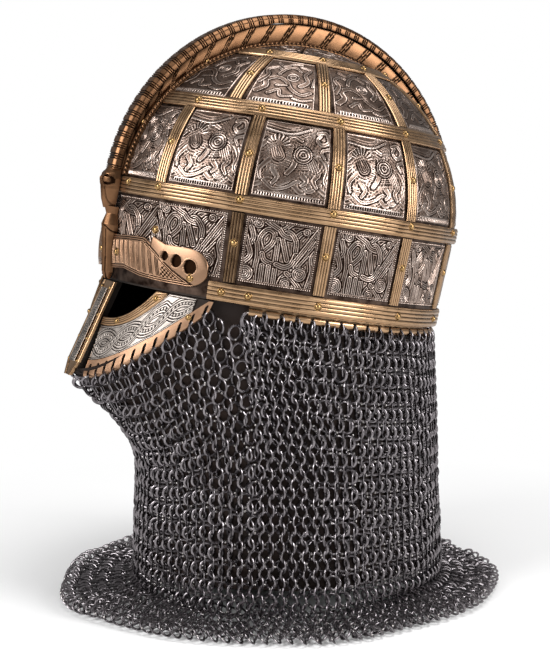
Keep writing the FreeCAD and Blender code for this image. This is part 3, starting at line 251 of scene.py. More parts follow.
def curve_through(corners, steps=70):
    """A smooth line through a few places, in mm on the sheet."""
    corners = np.asarray(corners, float)
    before = np.vstack([2 * corners[0] - corners[1], corners, 2 * corners[-1] - corners[-2]])
    spans = len(corners) - 1
    out = []
    for t in np.linspace(0, spans, steps):
        k = min(int(t), spans - 1)
        f = t - k
        p0, p1, p2, p3 = before[k:k + 4]
        out.append(0.5 * (2 * p1 + (p2 - p0) * f + (2 * p0 - 5 * p1 + 4 * p2 - p3) * f * f
                          + (3 * p1 - p0 - 3 * p2 + p3) * f ** 3))
    return np.array(out)


def sheet_grid(wide, tall, low_cover, high_cover, columns, rows):
    """Millimetres across and up from the middle of a sheet's open part, and inwards from that part's edge."""
    q, p = np.meshgrid(np.linspace(0, 1, rows), np.linspace(0, 1, columns), indexing="ij")
    open_half = (tall - low_cover - high_cover) / 2
    u, v = (p - 0.5) * wide, q * tall - low_cover - open_half
    side, end = wide / 2 - RIB_COVER - np.abs(u), open_half - np.abs(v)
    return u, v, np.minimum(side, end), np.where(side < end, v, u)


def bead_border(height, edge, run, margin, pitch, size):
    """Adds a row of small beads between two fine lines round a sheet, with a plain margin outside."""
    from_beads = edge - margin
    from_middle = (run / pitch % 1 - 0.5) * pitch
    bead = np.sqrt(np.clip(1 - (from_beads / size) ** 2 - (from_middle / size) ** 2, 0, 1))
    line = np.exp(-((from_beads - 1.7 * size) / 0.28) ** 2)
    frame = np.where(from_beads < -size, 0.3, np.maximum(np.maximum(bead, line * 0.9), 0.12))
    return np.where(from_beads > 2.4 * size, height, frame)


def woven(u, v, strands):
    """Ridged strands over a sheet, each crossing over the lower one, with lines between that echo them."""
    top = np.full(u.shape, -9.0)
    spare = np.full(u.shape, 99.0)
    height = np.zeros(u.shape)
    for number, (line, waves, phase) in enumerate(strands):
        gap, share = nearest(u, v, curve_through(line))
        spare = np.minimum(spare, np.abs(gap - STRAND_HALF))
        lift = np.cos(math.pi * (waves * share + phase)) + 0.001 * number
        form = 0.1 + 0.9 * np.cos(math.pi * STRAND_RIDGES * gap / STRAND_HALF) ** 2
        form = np.where(gap > STRAND_HALF, 0.12, form)
        seen = (gap < STRAND_HALF + 0.3) & (lift > top)
        height = np.where(seen, form, height)
        top = np.where(seen, lift, top)
    echo = 0.1 + 0.75 * np.cos(math.pi * (spare / RIDGE_STEP - 0.75)) ** 2
    return np.where(top < -5, echo, height)


# die of the lower row: strands of three fine ridges that cross at the top, with arches, cups, upright bars
# and spirals below
RIB_COVER, HOOP_COVER, RIM_COVER = 4.6, 5.6, 12.4
STRAND_HALF, STRAND_RIDGES, RIDGE_STEP = 1.85, 1.54, 1.2
u, v, edge, run = sheet_grid(56.0, 60.2, RIM_COVER, HOOP_COVER, 190, 190)
lower_strands = [
    ([(-23, 22), (-18, 13), (-14.5, 5), (-13, -3), (-13.5, -12), (-13, -21)], 3, 0.0),
    ([(-23, 12), (-20, 4), (-17.5, -3), (-21, -8)], 2, 0.8),
    ([(-23, -2), (-19, 3), (-17, 8), (-19, 14)], 2, 0.1),
    ([(-11, 1), (-13, 8), (-9, 14), (-4.5, 12), (-5, 6), (-10, 0)], 4, 0.5),
    ([(9.5, 3), (9, 9), (4.5, 14), (0.5, 11), (2.5, 4), (5, -3)], 4, 1.0),
    ([(-11, 21), (-4, 17), (1, 12), (8, 11), (12, 15), (22, 19)], 5, 0.2),
    ([(16, 20), (6, 20), (0, 15), (-6, 17), (-10, 19)], 4, 1.2),
    ([(-2, 9), (-1.8, 2), (-1.8, -7)], 1, 0.3),
    ([(-10.5, -1), (-8.5, -5), (-3, -7)], 1, 0.0),
    ([(-1, -6.5), (4, -7.5), (8, -5), (10, 1)], 2, 0.4),
    ([(-9.4, -8.5), (-9.2, -20.5)], 1, 0.7),
    ([(-5.4, -8.5), (-5.2, -20.5)], 1, 0.6),
    ([(-1.4, -8.5), (-1.2, -20.5)], 1, 0.7),
    ([(6, -11), (10.5, -3), (15.5, 6), (22.5, 19)], 3, 0.9),
    ([(11, -7), (15, -1), (19.5, 6), (22.5, 12)], 2, 0.0),
    ([(20, -18), (21.5, -8), (20, 0), (22.5, 6)], 2, 0.5),
    ([(6, -11), (11, -15), (17, -21)], 2, 0.1),
    ([(1.5, -21), (4, -14), (8, -11.5)], 1, 0.6),
]
lower_die = woven(u, v, lower_strands)
coils = ((-19.5, -14.5, 5.6), (14.2, -10.8, 4.6), (6.2, -17.6, 3.4), (-14.5, 17.0, 3.2), (14.5, 15.6, 2.6))
for x, y, size in coils:
    gap = np.hypot(u - x, v - y)
    coil = 0.1 + 0.9 * np.cos(math.pi * (gap / RIDGE_STEP + np.arctan2(v - y, u - x) / (2 * math.pi))) ** 2
    lower_die = np.where(gap < size, coil, np.where(gap < size + 0.5, 0.1, lower_die))
lower_die = bead_border(lower_die, edge, run, 1.2, 1.35, 0.55)


def comb_band(die, edge, v, run):
    """Adds the comb along the foot of a sheet, and a plain margin with a fine line round the rest."""
    die = np.where(edge < 1.5, np.where(edge > 0.9, 0.75, 0.3), die)
    foot = (edge < 4.4) & (v < 0) & (run != v)
    comb = np.where(np.cos(math.pi * run / 1.6) ** 2 > 0.42, 0.95, 0.1)
    return np.where(foot & (edge > 1.5) & (edge < 3.6), comb, np.where(foot & (edge >= 3.6), 0.85, die))


# die of the middle row: a horse and rider in rounded relief with a round shield, and a comb line below
u, v, edge, run = sheet_grid(54.0, 63.0, HOOP_COVER, HOOP_COVER, 170, 190)
middle_die = 0.46 + 0.06 * np.sin(u * 1.3) * np.sin(v * 1.1)
figures = [
    ([(-19, -17), (-12, -13), (-7, -17), (0, -14), (6, -18), (13, -14), (19, -17)], 1.5, 1.5),
    ([(-15, -14), (-9, -18), (-2, -16), (4, -12), (10, -17), (16, -12)], 1.1, 1.1),
    ([(9, 2), (15, 4), (19, -2), (18, -9), (20, -13)], 1.6, 1.0),
    ([(-8, 0), (-11, -6), (-8, -11), (-10, -15)], 2.1, 1.1),
    ([(-10, 2), (-15, -3), (-18, -8), (-17, -13)], 1.9, 1.0),
    ([(7, -1), (5, -7), (8, -11), (6, -14)], 2.2, 1.1),
    ([(11, 0), (14, -6), (12, -10), (14, -14)], 2.3, 1.1),
    ([(-9, 1), (0, -1), (10, 0)], 4.9, 4.6),
    ([(-9, 2), (-12, 8), (-14, 12)], 3.9, 2.6),
    ([(-13.5, 12.5), (-17, 10), (-19.5, 6.5)], 2.3, 1.4),
    ([(1, 4), (0, -3), (-3, -8)], 1.9, 1.5),
    ([(2, 5), (3, 11), (4, 14)], 3.3, 2.9),
    ([(4.5, 17.5), (4.8, 18.6)], 2.7, 2.5),
    ([(3, 13), (-2, 15), (-6, 12)], 1.3, 1.1),
    ([(-20, 17.5), (-4, 16), (8, 21)], 0.8, 0.8),
    ([(12, 19), (17, 20), (19, 15), (15, 12), (12, 15), (14, 18)], 1.3, 1.1),
    ([(19, 10), (15, 8), (17, 4)], 1.2, 0.9),
]
FIGURE_SCALE = 1.08
for corners, start, end in figures:
    gap, share = nearest(u, v, curve_through(np.array(corners) * FIGURE_SCALE, 60))
    size = start + (end - start) * share
    rim = np.exp(-((gap - size + 0.35) / 0.3) ** 2)
    form = 0.5 + 0.12 * np.sqrt(np.clip(1 - (gap / size) ** 2, 0, 1)) + 0.34 * rim
    form = np.where(size > 1.75, 0.5 + 0.3 * np.cos(2 * math.pi * (size - gap - 0.5) / 1.35), form)
    echo = 0.5 + 0.2 * np.cos(2 * math.pi * (gap - size) / 1.7)
    ground = np.where((gap < size + 4.0) & (middle_die < 0.54), echo, middle_die)
    middle_die = np.where(gap < size, form, np.where(gap < size + 0.6, 0.16, ground))
mane = (np.hypot(u + 11.0, v - 9.0) < 7.5) & (np.hypot(u + 11.5, v - 7.5) > 4.4) & (v > 8.5) & (u < -3)
stripe = np.cos(9.9 * np.arctan2(v - 7.5, u + 11.5)) ** 2
middle_die = np.where(mane, 0.2 + 0.75 * stripe, middle_die)
haunch = np.hypot(u - 11.5, v + 1.5) < 3.8
middle_die = np.where(haunch, 0.45 + 0.45 * np.cos(math.pi * (u + 0.5 * v) / 1.5) ** 2, middle_die)
shield = np.hypot(u - 5.0, v - 4.6)
middle_die = np.where(shield < 5.6, 0.2 + 0.75 * np.cos(math.pi * shield / 1.85) ** 2, middle_die)
middle_die = np.where(np.abs(shield - 6.0) < 0.4, 0.06, middle_die)
middle_die = comb_band(middle_die, edge, v, run)

# die of the upper row: small beasts and a ringed boss in low relief over the same comb
u, v, edge, run = sheet_grid(46.0, 58.0, HOOP_COVER, HOOP_COVER, 150, 170)
upper_die = 0.5 + 0.07 * np.sin(u * 1.1 + v) * np.sin(v * 1.2)
beasts = [
    ([(-15, -13), (-11, -8), (-12, -2), (-6, 2), (0, -1), (4, -8), (10, -12), (15, -9)], 1.9, 1.1),
    ([(-16, -4), (-13, 3), (-15, 9), (-9, 13), (-4, 9)], 1.7, 1.0),
    ([(-8, -14), (-3, -10), (-1, -15), (5, -14)], 1.2, 0.9),
    ([(9, -4), (13, 1), (11, 8), (14, 14), (7, 17)], 1.7, 0.9),
    ([(-10, 18), (-4, 15), (1, 19), (8, 20)], 1.2, 0.8),
    ([(-6, 6), (-3, 12), (3, 15), (8, 11)], 1.4, 1.0),
    ([(16, -3), (17, 5)], 0.9, 0.7),
    ([(-5, -6), (1, -5)], 1.0, 0.7),
    ([(6, -16), (11, -17), (16, -15)], 0.9, 0.7),
]
for corners, start, end in beasts:
    gap, share = nearest(u, v, curve_through(corners, 60))
    size = start + (end - start) * share
    rim = np.exp(-((gap - size + 0.3) / 0.3) ** 2)
    upper_die = np.where(gap < size, 0.52 + 0.34 * rim, np.where(gap < size + 0.6, 0.22, upper_die))
boss = np.hypot(u - 3.5, v - 3.5)
upper_die = np.where(boss < 4.6, 0.3 + 0.6 * np.cos(math.pi * boss / 1.85) ** 2, upper_die)
upper_die = comb_band(upper_die, edge, v, run)

# silvered sheet: bright and smooth on the ridges, black in the recesses, a little rosy where wiped thin
silvered, tree, shader, where = new_finish("silvered_stamped_sheet")
depth = add_node(tree, "Attribute", attribute_name="relief").outputs["Fac"]
smudge = add_node(tree, "TexNoise", {"Vector": where, "Scale": 130.0, "Detail": 6.0}).outputs["Fac"]
worn = add_node(tree, "MapRange", {"Value": smudge, "From Min": 0.35, "From Max": 0.7, "To Min": -0.1,
                                   "To Max": 0.12})
level = add_node(tree, "Math", {0: depth, 1: worn.outputs["Result"]}, operation="ADD").outputs["Value"]
dark = add_node(tree, "MapRange", {"Value": level, "From Min": 0.2, "From Max": 0.66})
low = add_node(tree, "MixRGB", {"Fac": dark.outputs["Result"], "Color1": linear("#1A100B"),
                                "Color2": linear("#766358")})
bright = add_node(tree, "MapRange", {"Value": level, "From Min": 0.6, "From Max": 1.0})
tone = add_node(tree, "MixRGB", {"Fac": bright.outputs["Result"], "Color1": low.outputs["Color"],
                                 "Color2": linear("#D6C6BC")})
give_surface(tree, shader, tone, level, (0.55, 0.27), (0.1, 0.9))

SHEET_LOW, SHEET_RISE = -0.45, 0.85


def relief_row(name, node, die, edges, low, high, trims=()):
    """One row of stamped sheets, as one piece for each side; a sheet may have a margin trimmed off."""
    place = np.linspace(low, high, die.shape[0])[:, None]
    parts = []
    for number, (first, last) in enumerate(edges):
        trim = trims[number] if number < len(trims) else slice(None)
        sheet = die[:, trim]
        angle = np.linspace(first, last, sheet.shape[1])[None, :]
        parts.append(grid_part(bowl(angle, place, SHEET_LOW + SHEET_RISE * sheet), sheet))
    for side, some in (("_left", parts), ("_right", [mirrored(part) for part in parts])):
        add_piece(name + side, some, silvered, "silvered_relief", (node,), sharp=180.0)


RIB_ANGLES = [24.5 + 28.5 * number for number in range(6)]
TOP_RIB_ANGLES = [41.0 + 35.0 * number for number in range(4)]
UPPER_HOOP = place_at(WIDEST_HEIGHT + 0.542 * BOWL_DOME_RISE)
CROWN_HOOP = place_at(WIDEST_HEIGHT + 0.8915 * BOWL_DOME_RISE)
row_edges = [(0.3, 24.44)] + [(a + 0.06, a + 28.44) for a in RIB_ANGLES[:-1]] + [(167.06, 179.9)]
top_edges = [(0.1, 40.94)] + [(a + 0.06, a + 34.94) for a in TOP_RIB_ANGLES[:-1]] + [(146.06, 179.9)]
crown_edges = [(0.1, 59.8), (60.2, 119.8), (120.2, 179.9)]
# no rib covers the join of the two front sheets, so both are trimmed to their figures there
front_trims = (slice(60, -25), slice(25, None))
relief_row("lower_relief", "lower_panels", lower_die, row_edges, 0.02, 0.99, front_trims)
relief_row("middle_relief", "middle_panels", middle_die, row_edges, 1.01, UPPER_HOOP)
relief_row("upper_relief", "upper_panels", upper_die, top_edges, UPPER_HOOP, CROWN_HOOP)
relief_row("crown_relief", "crown_panels", upper_die, crown_edges, CROWN_HOOP, 7.9, (slice(15, -15),) * 3)


# Hoops and rim band: cast bronze strips with four fine raised ribs between flat edges. They hold the edges of
# the sheets down and are riveted through the bowl. Old polish stays black in the lines.

def grooved_metal(name, tarnished, wear_and_painted_shade, patch_mm, dull, groove_span=(0.25, 0.78), black="#20130B"):
    """Metal with tarnish in patches of a size in mm, and old polish left black in the recesses."""
    finish, tree, shader, where = new_finish(name)
    depth = add_node(tree, "Attribute", attribute_name="relief").outputs["Fac"]
    scale = 1000.0 / patch_mm
    patch = add_node(tree, "TexNoise", {"Vector": where, "Scale": scale, "Detail": 6.0}).outputs["Fac"]
    warm = add_node(tree, "MixRGB", {"Fac": patch, "Color1": linear(tarnished), "Color2": linear(wear_and_painted_shade)})
    groove = add_node(tree, "MapRange", {"Value": depth, "From Min": groove_span[0],
                                         "From Max": groove_span[1]})
    tone = add_node(tree, "MixRGB", {"Fac": groove.outputs["Result"], "Color1": linear(black),
                                     "Color2": warm.outputs["Color"]})
    give_surface(tree, shader, tone, patch, dull, (0.3, 0.7))
    return finish


def add_pair(name, parts, finish, slot, node, **how):
    """The left piece and its mirrored copy on the right, each for the node of its side."""
    add_piece(name + "_left", parts, finish, slot, (node + "_left",), **how)
    add_piece(name + "_right", [mirrored(part) for part in parts], finish, slot, (node + "_right",), **how)


antique_bronze = grooved_metal("antique_bronze", "#8A6A4A", "#C6A482", 9.0, (0.22, 0.38))

PLACE_BELOW, PLACE_ABOVE = 62.1, 23.6
HOOP_HALF, HOOP_FOOT, HOOP_THICK = 5.3, 0.25, 2.0


def climb(place, up):
    """Place reached by going some millimetres up the bowl's profile."""
    place = np.asarray(place)
    run = np.where(place < 1, PLACE_BELOW * place, PLACE_BELOW + PLACE_ABOVE * (place - 1)) + up
    return np.where(run < PLACE_BELOW, run / PLACE_BELOW, 1 + (run - PLACE_BELOW) / PLACE_ABOVE)


def degree_length(angle, place):
    """Millimetres round the bowl for one degree of the ellipse angle."""
    rise = np.radians(COURSE_TURN * np.maximum(np.asarray(place, float) - 1, 0))
    turn = np.radians(angle)
    reach = np.hypot(BOWL_HALF_WIDTH * np.cos(turn), BOWL_HALF_LENGTH * np.sin(turn))
    return math.radians(1) * np.cos(rise) * reach


def fine_ribs(across, count, flat):
    """Height share and relief of a strip with fine ribs and flat edges, by the share across, from -1 to 1."""
    inside = np.abs(across) < flat
    rib = np.abs(np.cos(math.pi * count * (across / flat + 1) / 2 - math.pi / 2)) ** 0.6
    height = np.where(inside, 0.72 + 0.28 * rib, 0.8)
    relief = np.where(inside, 0.08 + 0.92 * rib, 0.8)
    edge = np.clip((1 - np.abs(across)) / 0.07, 0, 1)
    return height * (0.6 + 0.4 * edge), relief


def ribbed_band(place, first, last, half, steps, whole=False):
    """A band round the bowl between two angles, with its back on the sheets."""
    share = np.concatenate([[-1.0], np.linspace(-1, 1, 61), [1.0]])
    height, relief = fine_ribs(share, 4, 0.86)
    offset = HOOP_FOOT + HOOP_THICK * height
    offset[[0, -1]] = HOOP_FOOT
    angle = np.linspace(first, last, steps + 1)[:-1 if whole else None]
    points = bowl(angle[:, None], climb(place, half * share)[None, :], offset[None, :])
    return grid_part(points, relief[None, :], close_rows=whole, solid=True)


whole_hoop = ribbed_band(1.0, 0, 360, HOOP_HALF, 220, whole=True)
add_piece("bronze_lower_hoop", [whole_hoop], antique_bronze, "bronze", ("lower_hoop",))
CREST_CLEAR = 24.4 / 2
for name, place in (("upper_hoop", UPPER_HOOP), ("crown_hoop", CROWN_HOOP)):
    start = CREST_CLEAR / float(degree_length(0.0, place + HOOP_HALF / PLACE_ABOVE))
    half = ribbed_band(place, start, 180 - start, HOOP_HALF, 120)
    add_pair("bronze_" + name, [half], antique_bronze, "bronze", name)

RIM_HALF = 5.85
rim = ribbed_band(float(climb(0.0, 0.25 + RIM_HALF)), 46.7, 313.3, RIM_HALF, 180)
add_piece("bronze_rim_band", [rim], antique_bronze, "bronze", ("rim_band",))


# Upright ribs: narrower bronze strips of the same kind over the seams between the sheets, each with four
# fine ribs, cut off square against the hoops.

RIB_HALF, RIB_FOOT, RIB_THICK = 4.0, 0.33, 1.5


def upright_rib(angle, low, high, wear_and_painted_shade):
    """A rib at an angle between two places up the bowl, its tone darkened by a share: painted shade."""
    share = np.concatenate([[-1.0], np.linspace(-1, 1, 51), [1.0]])
    height, relief = fine_ribs(share, 4, 0.9)
    offset = RIB_FOOT + RIB_THICK * height
    offset[[0, -1]] = RIB_FOOT
    place = np.linspace(low, high, 24)[:, None]
    turn = RIB_HALF * share[None, :] / degree_length(angle, place)
    return grid_part(bowl(angle + turn, place, offset[None, :]), relief[None, :] * wear_and_painted_shade, solid=True)


RIM_TOP = 12.2
low_hoop = [float(climb(1.0, side * HOOP_HALF)) for side in (-1, 1)]
upper_hoop = [float(climb(UPPER_HOOP, side * HOOP_HALF)) for side in (-1, 1)]
crown_foot = float(climb(CROWN_HOOP, -HOOP_HALF))
# the last numbers darken each rib's tone, from the front: painted shade, darkest on the rib beside the brow
# guard, where the light falls away
rib_rows = (
    ("lower_ribs", RIB_ANGLES[1:], float(climb(0.0, RIM_TOP)), low_hoop[0], (0.5, 1.0, 0.95, 1.0, 0.95)),
    ("middle_ribs", RIB_ANGLES, low_hoop[1], upper_hoop[0], (1.0, 0.75, 1.0, 1.0, 0.9, 1.0)),
    ("upper_ribs", TOP_RIB_ANGLES, upper_hoop[1], crown_foot, (1.0, 0.9, 1.0, 1.0)),
)
for node, angles, low, high, painted_shade_shares in rib_rows:
    left = [upright_rib(angle, low + 0.01, high - 0.01, wear_and_painted_shade) for angle, wear_and_painted_shade in zip(angles, painted_shade_shares)]
    add_piece("bronze_" + node, both_sides(left), antique_bronze, "bronze", (node,))


# Rivets: brass rivets with low domed heads, each set on a small turned washer. Rubbing keeps the domes
# brighter than the strips, with a black line round the foot.

rubbed_brass = grooved_metal("rubbed_brass", "#6B4F30", "#BE9A68", 2.5, (0.2, 0.34))

RIVET_RADIUS = 2.3
RIVET_SIDES = 18
# radius share, height in mm and relief from the washer's edge over the dome
RIVET_PROFILE = ((1.12, -0.5, 0.6), (1.12, 0.18, 0.8), (1.05, 0.34, 1.0), (0.96, 0.34, 0.8), (0.9, 0.18, 0.05),
                 (0.86, 0.45, 0.5), (0.76, 0.86, 1.0), (0.6, 1.2, 1.0), (0.4, 1.43, 1.0), (0.2, 1.54, 1.0),
                 (0.04, 1.58, 1.0))


def rivet(centre, normal, scale=1.0):
    """A washer and a domed head on a point given in metres."""
    normal = np.asarray(normal, float) / np.linalg.norm(normal)
    side = np.cross(normal, (0.0, 0.0, 1.0) if abs(normal[2]) < 0.9 else (1.0, 0.0, 0.0))
    side /= np.linalg.norm(side)
    other = np.cross(normal, side)
    turn = np.linspace(0, 2 * math.pi, RIVET_SIDES, endpoint=False)
    spoke = np.cos(turn)[:, None] * side + np.sin(turn)[:, None] * other
    rows, relief = [], []
    for share, rise, shade in RIVET_PROFILE:
        rows.append(centre + spoke * share * RIVET_RADIUS * scale / 1000 + normal * rise * scale / 1000)
        relief.append(shade)
    return grid_part(rows, np.array(relief)[:, None], solid=True)


def bowl_rivet(angle, place, offset, scale=1.0):
    centre = bowl(angle, place, offset)
    along = bowl(angle + 0.1, place, offset) - bowl(angle - 0.1, place, offset)
    rise = bowl(angle, place + 0.01, offset) - bowl(angle, place - 0.01, offset)
    return rivet(centre, np.cross(along, rise), scale)


HOOP_TOP = HOOP_FOOT + HOOP_THICK - 0.1
hoop_set = [bowl_rivet(angle, float(climb(1.0, 2.2)), HOOP_TOP) for angle in [9.0] + RIB_ANGLES]
hoop_set += [bowl_rivet(angle, UPPER_HOOP, HOOP_TOP) for angle in (26.7, 53.0, 81.8, 110.7, 138.5, 163.0)]
hoop_set += [bowl_rivet(angle, CROWN_HOOP, HOOP_TOP) for angle in (39.0, 77.0, 110.0, 144.0)]
rim_place = 6.0 / WIDEST_HEIGHT
rim_set = [bowl_rivet(angle, rim_place, HOOP_TOP) for angle in (51.2, 59.8, 81.8, 112.6, 138.5, 167.0)]
RIB_TOP = RIB_FOOT + RIB_THICK - 0.1
rib_set = [bowl_rivet(angle, 0.6, RIB_TOP) for angle in RIB_ANGLES[1:]]
rib_set.append(bowl_rivet(RIB_ANGLES[0], 0.6, 0.3))
rib_set += [bowl_rivet(angle, (1 + UPPER_HOOP) / 2, RIB_TOP) for angle in RIB_ANGLES]
rib_set += [bowl_rivet(angle, (UPPER_HOOP + CROWN_HOOP) / 2, RIB_TOP) for angle in TOP_RIB_ANGLES]
for name, rivets in (("hoop_rivets", hoop_set), ("rim_rivets", rim_set), ("rib_rivets", rib_set)):
    add_piece("brass_" + name, both_sides(rivets), rubbed_brass, "bronze", (name,), sharp=60.0)


# Crest: a bronze comb from the brow over the crown to the nape. Lines are cut in groups across its flange and
# slanting on both sides of its web, and a roped strip runs along each foot, riveted to the bowl.

dark_bronze = grooved_metal("dark_bronze", "#4E3524", "#8A6649", 7.0, (0.28, 0.44))

CREST_RADIUS, FLANGE_THICK = 129.2, 6.0
WEB_RADIUS, WEB_HALF = 118.0, 4.8


def over_crest(turn, across, radius):
    """Points round the crest's own centre, by the turn in degrees from the front."""
    turn = np.radians(turn)
    return seat(across, -radius * np.cos(turn), WIDEST_HEIGHT + radius * np.sin(turn))


def over_dome(turn, across, offset):
    """Points on the dome at a distance from the middle plane, by the turn from the front."""
    shrink = np.sqrt(1 - (across / BOWL_HALF_WIDTH) ** 2)
    turn = np.radians(turn)
    along = -(BOWL_HALF_LENGTH + offset) * np.cos(turn) * shrink
    return seat(across, along, WIDEST_HEIGHT + (BOWL_DOME_RISE + offset) * np.sin(turn) * shrink)


def backed(face, back, relief, behind=None):
    """A closed part from a face in relief and two edge lines behind it."""
    back_relief = relief[:, :2] if behind is None else np.full((len(relief), 2), behind)
    return grid_part(np.concatenate([face, back], 1), np.concatenate([relief, back_relief], 1), solid=True)


# flange: groups of three cut lines, 7.5 mm from one group to the next
BAR_PITCH = 7.5
turn = np.linspace(4.0, 171.5, 1150)[:, None]
run = np.radians(turn) * CREST_RADIUS / BAR_PITCH % 1
ridge = np.where((run < 0.6) & (np.abs(run / 0.2 % 1 - 0.5) < 0.24), 0.0, 0.9)
# across in mm, up in mm and relief of one half of its section
half = [(7.0, 0.0, 0.3), (7.0, 1.4, 0.9), (7.0, 2.8, 1.0), (6.9, 3.5, 1.0), (6.3, 4.3, 1.0), (5.4, 5.2, 1.0),
        (4.7, 5.8, 1.0), (3.9, 6.0, 1.0), (2.4, 6.0, 1.0), (0.8, 6.0, 1.0)]
flange = np.array([(-across, rise, shade) for across, rise, shade in half] + half[::-1])
cut = np.where(flange[:, 1] > 2.9, 0.75, 0.0)[None, :] * (1 - ridge)
inward = np.where((flange[:, 1] > 0.5) & (flange[:, 1] <= 2.9), 0.5 * np.sign(flange[:, 0]), 0.0)
sides = flange[:, 0][None, :] - inward[None, :] * (1 - ridge)
radius = CREST_RADIUS - FLANGE_THICK + flange[:, 1][None, :] - cut
shade = flange[:, 2][None, :] * np.where(flange[:, 1][None, :] > 0.5, 0.05 + 0.95 * ridge, 0.9)
crest_flange = grid_part(over_crest(turn, sides, radius), shade, solid=True)
add_piece("bronze_crest_flange", [crest_flange], dark_bronze, "bronze", ("crest_flange",))

# web: groups of three slanting cut lines, 14.5 mm from one group to the next
CUT_PITCH = 14.5
turn = np.linspace(3.1, 176.0, 900)[:, None]
up = np.linspace(0, 1, 22)[None, :]
low_edge = over_dome(turn, WEB_HALF, 0.7)
high_edge = over_crest(turn, WEB_HALF, CREST_RADIUS - FLANGE_THICK - 0.25)
run = (np.radians(turn) * WEB_RADIUS - 7.5 * up) / CUT_PITCH % 1
plain = np.where((run < 0.36) & (np.abs(run / 0.12 % 1 - 0.5) < 0.2), 0.0, 0.95)
bulge = np.sin(math.pi * up) ** 0.6
side = low_edge * (1 - up[..., None]) + high_edge * up[..., None]
side[..., 0] += (0.2 + 0.6 * bulge + 0.55 * (plain - 0.5) * bulge) / 1000
inner = np.stack([side[:, -1] * (0, 1, 1), side[:, 0] * (0, 1, 1)], 1)
web = backed(side, inner, plain * np.clip(bulge * 1.6, 0.2, 1), 1.0)
add_piece("bronze_crest_web", both_sides([web]), dark_bronze, "bronze", ("crest_body",))

# roped foot strips, 3.1 mm from one lay of the rope to the next
ROPE_LAY = 3.1
FOOT_NEAR, FOOT_FAR = 5.05, 11.2
turn = np.linspace(3.1, 176.9, 1300)[:, None]
share = np.linspace(0, 1, 17)[None, :]
run = np.radians(turn) * WEB_RADIUS
rope = np.abs(np.sin(math.pi * (run / ROPE_LAY + 1.1 * share)))
in_rope = (share > 0.42) & (share < 0.95)
round_part = np.sqrt(np.clip(1 - ((share - 0.69) / 0.27) ** 2, 0, 1))
flat_part = np.where(np.abs(share - 0.32) < 0.05, 0.25, 0.62)
height = np.where(in_rope, round_part * (0.6 + 0.55 * rope), flat_part) * np.clip((1 - share) / 0.04, 0, 1)
shade = np.where(in_rope, rope * round_part, np.where(flat_part < 0.5, 0.05, 0.85))
across = FOOT_NEAR + (FOOT_FAR - FOOT_NEAR) * share
top = over_dome(turn, across, 0.5 + 1.9 * height)
under = over_dome(turn, across[:, ::-16], np.full((1, 2), 0.4))
add_pair("bronze_crest_foot", [backed(top, under, shade, 0.5)], dark_bronze, "bronze", "crest_foot")


def crest_rivet(turn):
    centre = over_dome(turn, 6.9, 1.9)
    return rivet(centre, centre - seat(0.0, 0.0, WIDEST_HEIGHT), 0.7)


crest_set = [crest_rivet(turn) for turn in (22.0, 52.0, 80.0, 98.0, 124.0, 156.0)]
add_piece("brass_crest_rivets", both_sides(crest_set), rubbed_brass, "bronze", ("crest_rivets",), sharp=60.0)


# Animal head and forehead ridge: solid castings in the same bronze. The head, with round eyes and a tapered
# snout, covers the end of the crest, and the smooth keeled ridge covers the join between the brow guards.

HEAD_LOW, HEAD_HIGH, HEAD_HALF, HEAD_DEPTH = 45.5, 73.0, 7.9, 9.4
RIDGE_LOW, RIDGE_HIGH, RIDGE_HALF, RIDGE_DEPTH = 0.4, 46.8, 6.4, 8.6
HEAD_BACK, RIDGE_BACK = 2.75, 0.5
HEAD_STEPS = (0.0, 0.2, 0.45, 0.7, 1.0)
RIDGE_STEPS = (0.0, 0.1, 0.35, 0.6, 0.75, 0.9, 1.0)


def front_reach(height, offset):
    """How far the bowl's front reaches at a height."""
    share = np.where(height < WIDEST_HEIGHT, RIM_SHARE + (1 - RIM_SHARE) * height / WIDEST_HEIGHT,
                     np.sqrt(np.clip(1 - ((height - WIDEST_HEIGHT) / (BOWL_DOME_RISE + offset)) ** 2, 0, 1)))
    return -(BOWL_HALF_LENGTH + offset) * share


def front_form(half, depth):
    """Across and outward mm of a rounded form on the bowl's front, from its half width and depth."""
    u = np.linspace(-1, 1, 61)[None, :]
    out = np.clip(1 - np.abs(u) ** 2.4, 0, 1) ** 0.5
    return u, u * half[:, None], depth[:, None] * out


rise = np.linspace(0, 1, 90)
height = HEAD_LOW + (HEAD_HIGH - HEAD_LOW) * rise
half = HEAD_HALF * np.interp(rise, HEAD_STEPS, (0.3, 0.62, 0.92, 1.0, 0.7))
deep = HEAD_DEPTH * np.interp(rise, HEAD_STEPS, (0.62, 0.82, 0.93, 1.0, 0.66))
u, across, out = front_form(half, deep)
v = rise[:, None]
eye = np.hypot((np.abs(across) - 4.6) / 2.9, (height[:, None] - 63.4) / 3.3)
ball = np.where(eye < 0.55, 0.9, np.where(eye < 1.0, -1.1, np.where(eye < 1.25, 0.5, 0.0)))
keel = np.clip(1 - np.abs(across) / 3.0, 0, 1) * (v < 0.6)
crease = (np.abs(np.abs(across) - 3.2) < 0.35) & (v < 0.5)
brow = np.exp(-((height[:, None] - 68.6 + 0.22 * np.abs(across)) / 1.0) ** 2) * 0.7
cut = ball + brow + 0.9 * keel - 0.7 * crease
shade = np.clip(0.85 + 0.6 * np.minimum(cut, 0), 0.03, 1)
bowl_front = front_reach(height, HEAD_BACK)[:, None]
head = seat(across, bowl_front - np.maximum(out + cut * np.clip(out / 4, 0, 1), 0.0), height[:, None])
back = seat(np.stack([half, -half], 1), bowl_front + 0.4, height[:, None])
add_piece("bronze_animal_head", [backed(head, back, shade)], dark_bronze, "bronze", ("crest_head",))

